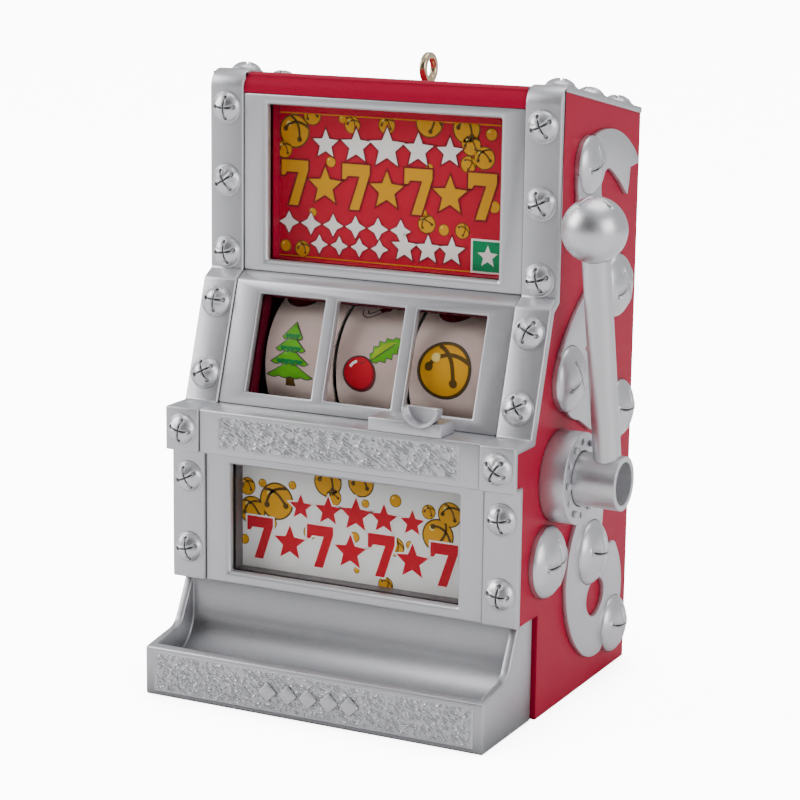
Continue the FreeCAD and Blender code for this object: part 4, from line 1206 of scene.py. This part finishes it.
@dataclass
class SignCard:
    """The red card behind the upper window, with its bells, stars, sevens and tag."""

    window: tuple[float, float, float, float] = (-19.9, 18.0, 66.1, 88.4)
    frame_line: float = 0.16
    bells: tuple[tuple[float, float, float], ...] = (
        (-17.1, 85.6, 2.65), (-18.9, 82.7, 1.42), (-14.0, 88.2, 1.58), (-7.0, 87.1, 1.38),
        (-8.7, 87.9, 0.69), (-1.1, 87.4, 1.45), (6.1, 88.2, 2.33), (12.3, 87.6, 2.3),
        (13.1, 85.2, 1.64), (15.3, 83.4, 1.8), (12.7, 82.3, 1.32), (16.4, 87.0, 0.98),
        (6.2, 81.4, 0.67), (-10.7, 81.2, 0.87), (-19.3, 79.5, 0.89), (17.1, 76.2, 0.98),
        (-13.8, 73.2, 0.71), (5.9, 72.8, 1.52), (5.3, 74.4, 0.68), (8.8, 72.1, 0.92),
        (11.9, 72.2, 1.25), (-18.6, 67.6, 0.99), (-15.6, 67.3, 1.34))
    title: StarRow = StarRow(-11.6, 83.9, 5.3, (2.3, 2.7, 3.2, 2.7, 2.3), 0.25)
    sevens: SevenRow = SevenRow(-17.0, 77.4, 5.35, 3.0, 4.7, 7.0, 0.3)
    lines: tuple[StarRow, ...] = (StarRow(-18.0, 71.4, 3.9, (1.75,) * 6, 0.16, 4, 0.5),
                                  StarRow(-12.6, 68.3, 3.5, (1.5,) * 4, 0.16, 4, 0.5),
                                  StarRow(2.2, 68.9, 4.0, (2.3,) * 3, 0.22))
    tag: tuple[float, float, float, float] = (13.4, 18.6, 66.0, 71.2)
    tag_line: float = 0.3
    tag_star: float = 1.75
    tag_shift: float = 0.05

    def build(self) -> None:
        """Dresses the card and builds its print."""
        dress("sign_card", CARD_RED)
        art, draw = Print(), random.Random(11)
        left, right, low, high = self.window
        for x0, z0, x1, z1 in ((left, low, left, high), (left, high, right, high), (left, low, right, low)):
            art.add(bar(x0, z0, x1, z1, self.frame_line), GOLD_INK, 1)
        art.window = (left, 19.6, low, high)
        for x, z, radius in self.bells:
            art.bell(x, z, radius, draw.uniform(-0.9, 0.9))
        self.title.draw(art, WHITE_INK, DARK_RED_INK)
        self.sevens.draw(art, GOLD_INK, DARK_RED_INK)
        for row in self.lines:
            row.draw(art, WHITE_INK, DARK_RED_INK)
        x0, x1, z0, z1 = self.tag
        art.window = None
        art.add([(x0, z0), (x1, z0), (x1, z1), (x0, z1)], WHITE_INK, 6)
        x0, z0, z1 = x0 + self.tag_line, z0 + self.tag_line, z1 - self.tag_line
        art.add([(x0, z0), (x1, z0), (x1, z1), (x0, z1)], TAG_GREEN_INK, 7)
        art.add(star((x0 + x1) / 2 + self.tag_shift, (z0 + z1) / 2, self.tag_star), WHITE_INK, 8)
        art.flat("sign_print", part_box("sign_card")[0].y, "cabinet")


@dataclass
class LowerCard:
    """The white card behind the lower window, with its bells and red stars and sevens."""

    bells: tuple[tuple[float, float, float], ...] = (
        (-18.7, 31.3, 1.44), (-16.0, 32.1, 0.71), (-13.5, 29.5, 3.01), (-10.7, 32.4, 0.7),
        (-17.8, 27.5, 2.33), (-14.5, 25.9, 1.07), (-19.2, 22.7, 0.81), (-4.5, 33.7, 2.42),
        (-3.5, 31.4, 1.38), (1.2, 34.2, 2.22), (2.0, 31.1, 0.68), (7.1, 32.2, 1.01),
        (-7.6, 25.3, 1.14), (0.2, 25.6, 0.86), (12.7, 31.2, 1.16), (16.2, 31.2, 1.98),
        (14.3, 27.7, 2.65), (16.6, 25.5, 0.66), (7.2, 25.0, 1.52), (9.6, 25.6, 0.67),
        (0.6, 20.4, 0.52), (5.6, 18.8, 1.28))
    margin: float = 0.3
    title: StarRow = StarRow(-9.2, 29.1, 4.8, (2.1, 2.4, 2.8, 2.4, 2.1), 0.25)
    sevens: SevenRow = SevenRow(-16.4, 23.1, 5.3, 2.9, 4.6, 6.7, 0.28)

    def build(self) -> None:
        """Dresses the card and builds its print."""
        dress("lower_card", CARD_WHITE)
        low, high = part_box("lower_card")
        inset = self.margin
        art, draw = Print((low.x / MM + inset, high.x / MM - inset,
                           low.z / MM + inset, high.z / MM - inset)), random.Random(5)
        for x, z, radius in self.bells:
            art.bell(x, z, radius, draw.uniform(-0.9, 0.9))
        self.title.draw(art, RED_INK, WHITE_INK)
        self.sevens.draw(art, RED_INK, WHITE_INK)
        art.flat("lower_print", low.y, "cabinet")


# ------------------------------------------------------------------ reels
class Symbol(Enum):
    """What a reel shows at one stop."""

    TREE = "tree"
    HOLLY = "holly"
    BELL = "bell"
    BALL = "ball"
    LOOP = "loop"


TREE_TIERS = ((4.9, 2.5, 1.65), (2.9, 0.55, 2.45), (0.9, -1.45, 3.15), (-1.1, -3.6, 3.85))
HEM_WAVES = 4
GARLAND_SHARE = 0.72
LEAF_TIP = (4.6, 3.9)
LEAF_HALF = 1.75


def scallops(z: float, wide: float, drop: float) -> list[Point]:
    """A wavy line from right to left, sagging in round waves.

    Args:
        z: Height of its ends.
        wide: Half of its width.
        drop: Depth of the waves.

    Returns:
        The line's points.
    """
    count = HEM_WAVES * 5
    line = []
    for i in range(count + 1):
        t = i / count
        wave = abs(math.sin(math.pi * HEM_WAVES * t))
        line.append((wide * (1 - 2 * t), z - drop * wave))
    return line


def tree_print() -> Print:
    """Draws a fir of four tiers with wavy hems and garlands.

    Returns:
        The print.
    """
    art = Print()
    trunk = [(-0.75, -5.1), (0.75, -5.1), (0.75, -3.3), (-0.75, -3.3)]
    art.outlined(trunk, BROWN_INK, LINE_INK, 0.13, 1)
    for order, (tip, hem, wide) in enumerate(reversed(TREE_TIERS)):
        tier = [(0.0, tip)] + scallops(hem, wide, 0.28)[::-1]
        art.outlined(tier, GREEN_INK, LINE_INK, 0.15, 3 + 3 * order)
    for _, hem, wide in TREE_TIERS[:-1]:
        low = scallops(hem + 0.15, GARLAND_SHARE * wide, 0.42)
        high = scallops(hem + 0.55, GARLAND_SHARE * wide, 0.1)
        art.add(low + high[::-1], DEEP_GREEN_INK, 15)
    return art


def holly_print() -> Print:
    """Draws a spiked leaf behind a red berry.

    Returns:
        The print.
    """
    art, (tip_x, tip_z), foot, spikes = Print(), LEAF_TIP, 0.2, 9
    sides = []
    for sign in (-1, 1):
        row = []
        for i in range(1, spikes + 1):
            t = i / (spikes + 1)
            w = sign * LEAF_HALF * math.sin(math.pi * t) ** 0.6 * (1.0 if i % 2 else 0.62)
            row.append((tip_x * t - 0.71 * w, foot + (tip_z - foot) * t + 0.71 * w))
        sides.append(row)
    leaf = [(0.0, foot)] + sides[0] + [LEAF_TIP] + sides[1][::-1]
    art.outlined(leaf, GREEN_INK, LINE_INK, 0.14, 1)
    art.add([(0.0, foot), (0.5, 1.9), (1.6, 2.9), (3.2, 3.4), (4.0, 3.4)], LIME_INK, 3)
    art.add(curve((0.0, foot), (2.0, 1.5), (3.7, 3.2), 0.16), LINE_INK, 4)
    art.add(disc(-1.7, -2.0, 2.85), LINE_INK, 5)
    art.add(disc(-1.7, -2.0, 2.68), DARK_RED_INK, 6)
    art.add(disc(-1.8, -1.85, 2.42), RED_INK, 7)
    art.add(curve((-3.3, -1.0), (-2.9, -0.3), (-2.2, -0.1), 0.42), WHITE_INK, 8)
    art.add(curve((-1.9, 0.0), (-1.4, -0.7), (-0.9, 0.1), 0.14), LINE_INK, 8)
    return art


def bell_print() -> Print:
    """Draws one large gold bell.

    Returns:
        The print.
    """
    art = Print(plain_under=0.0)
    art.add(disc(0, 0, 4.5, 48), LINE_INK, 1)
    art.bell(0, 0, 4.32, 0.0)
    return art


def loop_print() -> Print:
    """Draws a curved stroke with a dark red end.

    Returns:
        The print.
    """
    art, bow = Print(), ((-3.4, -2.2), (-3.0, -4.6), (-0.9, -2.2))
    art.add(curve(*bow, 1.0), LINE_INK, 1)
    art.add(curve(*bow, 0.7), PAPER, 2)
    art.add(curve((-0.9, -2.2), (-0.2, -1.4), (0.7, -1.6), 1.1), DARK_RED_INK, 3)
    return art


def ball_print() -> Print:
    """Draws a dark red ball.

    Returns:
        The print.
    """
    art = Print()
    art.add(disc(-1.2, -0.1, 2.95, 40), LINE_INK, 1)
    art.add(disc(-1.2, -0.1, 2.8, 40), DARK_RED_INK, 2)
    return art


SYMBOL_PRINTS: dict[Symbol, Callable[[], Print]] = {
    Symbol.TREE: tree_print, Symbol.HOLLY: holly_print, Symbol.BELL: bell_print,
    Symbol.BALL: ball_print, Symbol.LOOP: loop_print}


@dataclass
class Drum:
    """One reel: its strip's outside and the order of its symbols.

    Args:
        hand: Which reel it is.
        stops: The symbols, from the one in the window upwards.
        shift: How far the first symbol stands off the reel's middle, in millimetres.
        first: How far above the front the window's symbol stands, in degrees.
        paper_over: How far the paper reaches past the strip's right edge, in metres.
        paper_thick: Thickness of the paper's shown edge, in metres.
        paper_steps: Steps round the paper.
    """

    hand: str
    stops: tuple[Symbol, ...]
    shift: float = 0.0
    first: float = 13.0
    paper_over: float = 0.0004
    paper_thick: float = 0.0002
    paper_steps: int = 120

    def build(self) -> None:
        """Dresses the reel's nodes and wraps its symbols round the strip."""
        dress(f"reel_drum_{self.hand}", NYLON)
        dress(f"notch_wheel_{self.hand}", NYLON)
        low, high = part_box(f"reel_strip_{self.hand}")
        self.middle = (low.x + high.x) / 2 + self.shift * MM
        self.axle = (low + high) / 2
        self.radius = (high.z - low.z) / 2
        prints = [SYMBOL_PRINTS[stop]() for stop in self.stops]
        inks = list(dict.fromkeys(ink for p in prints for ink in p.inks()))
        shape = Shape()
        for i, art in enumerate(prints):
            art.wrapped(shape, inks, self, math.radians(self.first) + TURN * i / len(self.stops))
        piece = shape.piece(f"reel_print_{self.hand}", inks, f"reel_{self.hand}", "paper")
        face_out(piece, lambda middle: Vector((0, middle.y - self.axle.y, middle.z - self.axle.z)))
        self.paper(low.x, high.x + self.paper_over)

    def paper(self, left: float, right: float) -> None:
        """Builds the strip's paper, which reaches a little past its drum on the right.

        Args:
            left: Where its left edge stands along X.
            right: Where its right edge stands along X.
        """
        points = []
        for s in range(self.paper_steps):
            angle = TURN * s / self.paper_steps
            inner = -self.paper_thick
            for x, reach in ((left, 0.0), (right, 0.0), (right, inner), (left, inner)):
                points.append(Vector((x,
                                      self.axle.y - (self.radius + reach) * math.cos(angle),
                                      self.axle.z + (self.radius + reach) * math.sin(angle))))
        n = self.paper_steps
        faces = [(4 * s + k, 4 * s + (k + 1) % 4, 4 * ((s + 1) % n) + (k + 1) % 4, 4 * ((s + 1) % n) + k)
                 for s in range(n) for k in range(4)]
        shape = Shape()
        shape.add(points, faces)
        strip = f"reel_strip_{self.hand}"
        shape.piece(f"reel_paper_{self.hand}", [PAPER], f"reel_{self.hand}", "paper", (strip,))


@dataclass
class Reels:
    """The three reels and the works that carry them."""

    def build(self) -> None:
        """Builds the reels and dresses the works."""
        tree, holly, bell, ball, loop = Symbol
        for drum in (Drum("left", (tree, ball, bell, holly, loop, ball), -1.4),
                     Drum("centre", (holly, loop, tree, bell, holly, ball)),
                     Drum("right", (bell, ball, holly, tree, loop, ball))):
            drum.build()
        for node in ("reel_axle", "axle_collars", "frame_bars", "frame_screws", "detent_springs",
                     "return_spring", "back_screws", "base_screws"):
            dress(node, STEEL)
        for node in ("reel_frame_left", "reel_frame_right"):
            dress(node, BLACK)
        for node in ("drive_pinion", "sector_gear", "lever_bush"):
            dress(node, NYLON)


# ------------------------------------------------------------------ case, front and tray
@dataclass
class Case:
    """The red cabinet and its hidden plates."""

    def build(self) -> None:
        """Dresses the red parts."""
        for node in ("cabinet_shell", "back_cover", "base_plate", "sign_surround"):
            dress(node, RED_GLOSS)
        # The window linings take darkened finishes that paint the shade inside their recesses.
        dress("reel_surround", RED_LINING_PAINTED_SHADE)
        dress("lower_surround", LINING_PAINTED_SHADE)
        dress("hanging_loop", BRASS)


@dataclass
class Front:
    """The silver straps, window panels, coin slot and the grained band."""

    rounding: float = 0.00028
    fine: float = 0.00012
    ribbon: float = 0.00016
    band: tuple[float, float, float, float] = (-20.5, 20.5, 38.2, 43.6)

    def build(self) -> None:
        """Builds the rounded panels and the band of grain."""
        for node in ("strap_left", "strap_right", "sign_frame", "reel_bezel", "lower_bezel"):
            soft_copy(node, SILVER, self.rounding)
        for node in ("coin_slot_block", "coin_slot_cup"):
            soft_copy(node, SILVER, self.fine, 2)
        for hand in ("left", "right"):
            soft_copy(f"side_ribbon_{hand}", SILVER, self.ribbon, 2)
        for node in ("sign_window", "reel_window", "lower_window"):
            dress(node, CLEAR)
        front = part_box("lower_bezel")[0].y
        GrainPanel("band_grain", *(edge * MM for edge in self.band), seed=3.0).build(front)


@dataclass
class Tray:
    """The coin tray with its grained front and raised emblem."""

    rounding: float = 0.00030
    emblem: float = 0.00010
    plate: tuple[float, float, float, float] = (-27.2, 27.2, 0.7, 7.2)

    def build(self) -> None:
        """Builds the tray's pieces."""
        # The tray takes the darker silver whose colour paints the shade of its hollow.
        soft_copy("coin_tray", TRAY_SILVER_PAINTED_SHADE, self.rounding)
        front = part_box("coin_tray")[0].y
        GrainPanel("tray_grain", *(edge * MM for edge in self.plate), wrinkle=0.00045,
                   height=0.00018, seed=9.0).build(front)
        soft_copy("tray_emblem", SILVER, self.emblem, 2)


# ------------------------------------------------------------------ lever
@dataclass
class Lever:
    """The pull lever: bell-topped ball, rod, hub and housing.

    Args:
        rings: Steps from pole to pole of the ball.
        spokes: Steps round the ball.
        span: Polar angle that counts as the slits' unit length, in radians.
        turn: How far the ball's cross is turned, in radians.
        cross: The slits' sizes.
    """

    rings: int = 84
    spokes: int = 144
    span: float = 1.15
    turn: float = 0.55
    cross: BellDome = BellDome(reach=0.60, half=0.022, eye=0.05, soft=0.05, depth=0.06, lip=0.012)

    def build(self) -> None:
        """Builds the ball and dresses the rest of the lever."""
        self.ball()
        for node in ("lever_rod", "lever_hub", "lever_shaft"):
            dress(node, ROD_SILVER)
        dress("shaft_clip", STEEL)
        soft_copy("lever_housing", SILVER, 0.00016, 2)
        soft_copy("housing_studs", SILVER, 0.00012, 2)

    def ball(self) -> None:
        """Builds the ball as a bell with slits round its top."""
        low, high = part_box("lever_ball")
        centre, radius = (low + high) / 2, (high.z - low.z) / 2
        shape, points = Shape(), []
        for k in range(1, self.rings):
            polar = math.pi * k / self.rings
            for s in range(self.spokes):
                around = TURN * s / self.spokes
                share = polar / self.span
                dent = 0.0
                if share < 1.0:
                    dent = self.cross.slit(share * math.cos(around + self.turn),
                                           share * math.sin(around + self.turn))
                reach = radius * (0.995 + min(dent, 0.005))
                flat = math.sin(polar)
                out = Vector((flat * math.cos(around), flat * math.sin(around), math.cos(polar)))
                points.append(centre + reach * out)
        points.append(centre + Vector((0, 0, radius * (1 - self.cross.depth))))
        points.append(centre - Vector((0, 0, radius)))
        n, last = self.spokes, self.rings - 2
        faces = [(k * n + s, (k + 1) * n + s, (k + 1) * n + (s + 1) % n, k * n + (s + 1) % n)
                 for k in range(last) for s in range(n)]
        faces += [(len(points) - 2, s, (s + 1) % n) for s in range(n)]
        faces += [(len(points) - 1, last * n + (s + 1) % n, last * n + s) for s in range(n)]
        shape.add(points, faces)
        shape.piece("lever_ball_cut", [BELL_SILVER], "lever", "silver", ("lever_ball",))


# ------------------------------------------------------------------ studio
@dataclass
class Studio:
    """Pale floor, soft lights and the camera."""

    eye: tuple[float, float, float] = (0.165084, -0.328341, 0.124168)
    target: tuple[float, float, float] = (-0.000953, 0.00443, 0.043691)
    roll: float = 0.01334
    lens: float = 108.6
    floor_half: float = 3.0
    room_colour: Colour = (0.95, 0.96, 1.0)
    room_strength: float = 0.60
    seen_strength: float = 12.0
    dim_side: tuple[float, float, float] = (-0.05, -0.93, 0.36)
    dim_spread: tuple[float, float] = (0.72, 0.96)
    dim_colour: Colour = (0.03, 0.025, 0.025)
    lamps: tuple[tuple[str, tuple[float, float, float], float, float], ...] = (
        ("key_lamp", (-0.95, -0.42, 0.62), 0.7, 8.5),
        ("fill_lamp", (0.95, -0.30, 0.40), 0.6, 3.8),
        ("top_lamp", (0.05, 0.25, 1.1), 0.8, 5.0),
    )

    def build(self) -> None:
        """Sets up the floor, the world, the lamps and the camera."""
        self.floor()
        self.world()
        for name, place, size, power in self.lamps:
            self.lamp(name, Vector(place), size, power)
        self.camera()

    def floor(self) -> None:
        """Lays a large flat floor."""
        steps, half = 24, self.floor_half
        points = [Vector((-half + 2 * half * i / steps, -half + 2 * half * j / steps, 0.0))
                  for j in range(steps + 1) for i in range(steps + 1)]
        row = steps + 1
        faces = [(j * row + i, j * row + i + 1, (j + 1) * row + i + 1, (j + 1) * row + i)
                 for j in range(steps) for i in range(steps)]
        mesh = bpy.data.meshes.new("floor")
        mesh.from_pydata(points, [], faces)
        mesh.materials.append(FLOOR_WHITE.material())
        floor = bpy.data.objects.new("floor", mesh)
        bpy.context.scene.collection.objects.link(floor)

    def world(self) -> None:
        """Fills the world with plain pale light."""
        world = bpy.data.worlds.new("pale_room")
        world.use_nodes = True
        tree = world.node_tree
        lit, out = tree.nodes["Background"], tree.nodes["World Output"]
        place, towards = tree.nodes.new("ShaderNodeTexCoord"), tree.nodes.new("ShaderNodeVectorMath")
        towards.operation = "DOT_PRODUCT"
        towards.inputs[1].default_value = self.dim_side
        tree.links.new(place.outputs["Generated"], towards.inputs[0])
        spread = tree.nodes.new("ShaderNodeMapRange")
        spread.interpolation_type = "SMOOTHSTEP"
        spread.inputs["From Min"].default_value, spread.inputs["From Max"].default_value = self.dim_spread
        tree.links.new(towards.outputs["Value"], spread.inputs["Value"])
        room = mixed(tree, spread.outputs["Result"], self.room_colour, self.dim_colour)
        tree.links.new(room, lit.inputs["Color"])
        lit.inputs["Strength"].default_value = self.room_strength
        seen, path = tree.nodes.new("ShaderNodeBackground"), tree.nodes.new("ShaderNodeLightPath")
        seen.inputs["Color"].default_value = (*self.room_colour, 1)
        seen.inputs["Strength"].default_value = self.seen_strength
        choice = tree.nodes.new("ShaderNodeMixShader")
        tree.links.new(path.outputs["Is Camera Ray"], choice.inputs[0])
        tree.links.new(lit.outputs["Background"], choice.inputs[1])
        tree.links.new(seen.outputs["Background"], choice.inputs[2])
        tree.links.new(choice.outputs["Shader"], out.inputs["Surface"])
        bpy.context.scene.world = world

    def lamp(self, name: str, place: Vector, size: float, power: float) -> None:
        """Adds a soft square lamp that points at the object.

        Args:
            name: Its name.
            place: Where it hangs.
            size: Its side, in metres.
            power: Its power, in watts.
        """
        light = bpy.data.lights.new(name, "AREA")
        light.size, light.energy = size, power
        lamp = bpy.data.objects.new(name, light)
        lamp.location = place
        lamp.rotation_euler = (Vector(self.target) - place).to_track_quat("-Z", "Y").to_euler()
        bpy.context.scene.collection.objects.link(lamp)

    def camera(self) -> None:
        """Sets the camera at the object's three-quarter view."""
        eye, target = Vector(self.eye), Vector(self.target)
        ahead = (target - eye).normalized()
        right = ahead.cross(Vector((0, 0, 1))).normalized()
        up = right.cross(ahead)
        side = right * math.cos(self.roll) + up * math.sin(self.roll)
        top = up * math.cos(self.roll) - right * math.sin(self.roll)
        data = bpy.data.cameras.new("camera")
        data.lens, data.sensor_width = self.lens, 36.0
        data.clip_start, data.clip_end = 0.01, 20.0
        camera = bpy.data.objects.new("camera", data)
        turned = Matrix((side, top, -ahead)).transposed().to_4x4()
        camera.matrix_world = Matrix.Translation(eye) @ turned
        bpy.context.scene.collection.objects.link(camera)
        bpy.context.scene.camera = camera


def main() -> None:
    """Builds every sub-assembly in order."""
    logging.basicConfig(level=logging.INFO, format="%(message)s")
    for assembly in (Studio(), Case(), Front(), Tray(), Bells(), SignCard(), LowerCard(), Reels(), Lever()):
        LOG.info("-- %s", type(assembly).__name__)
        assembly.build()


if __name__ == "__main__":
    main()
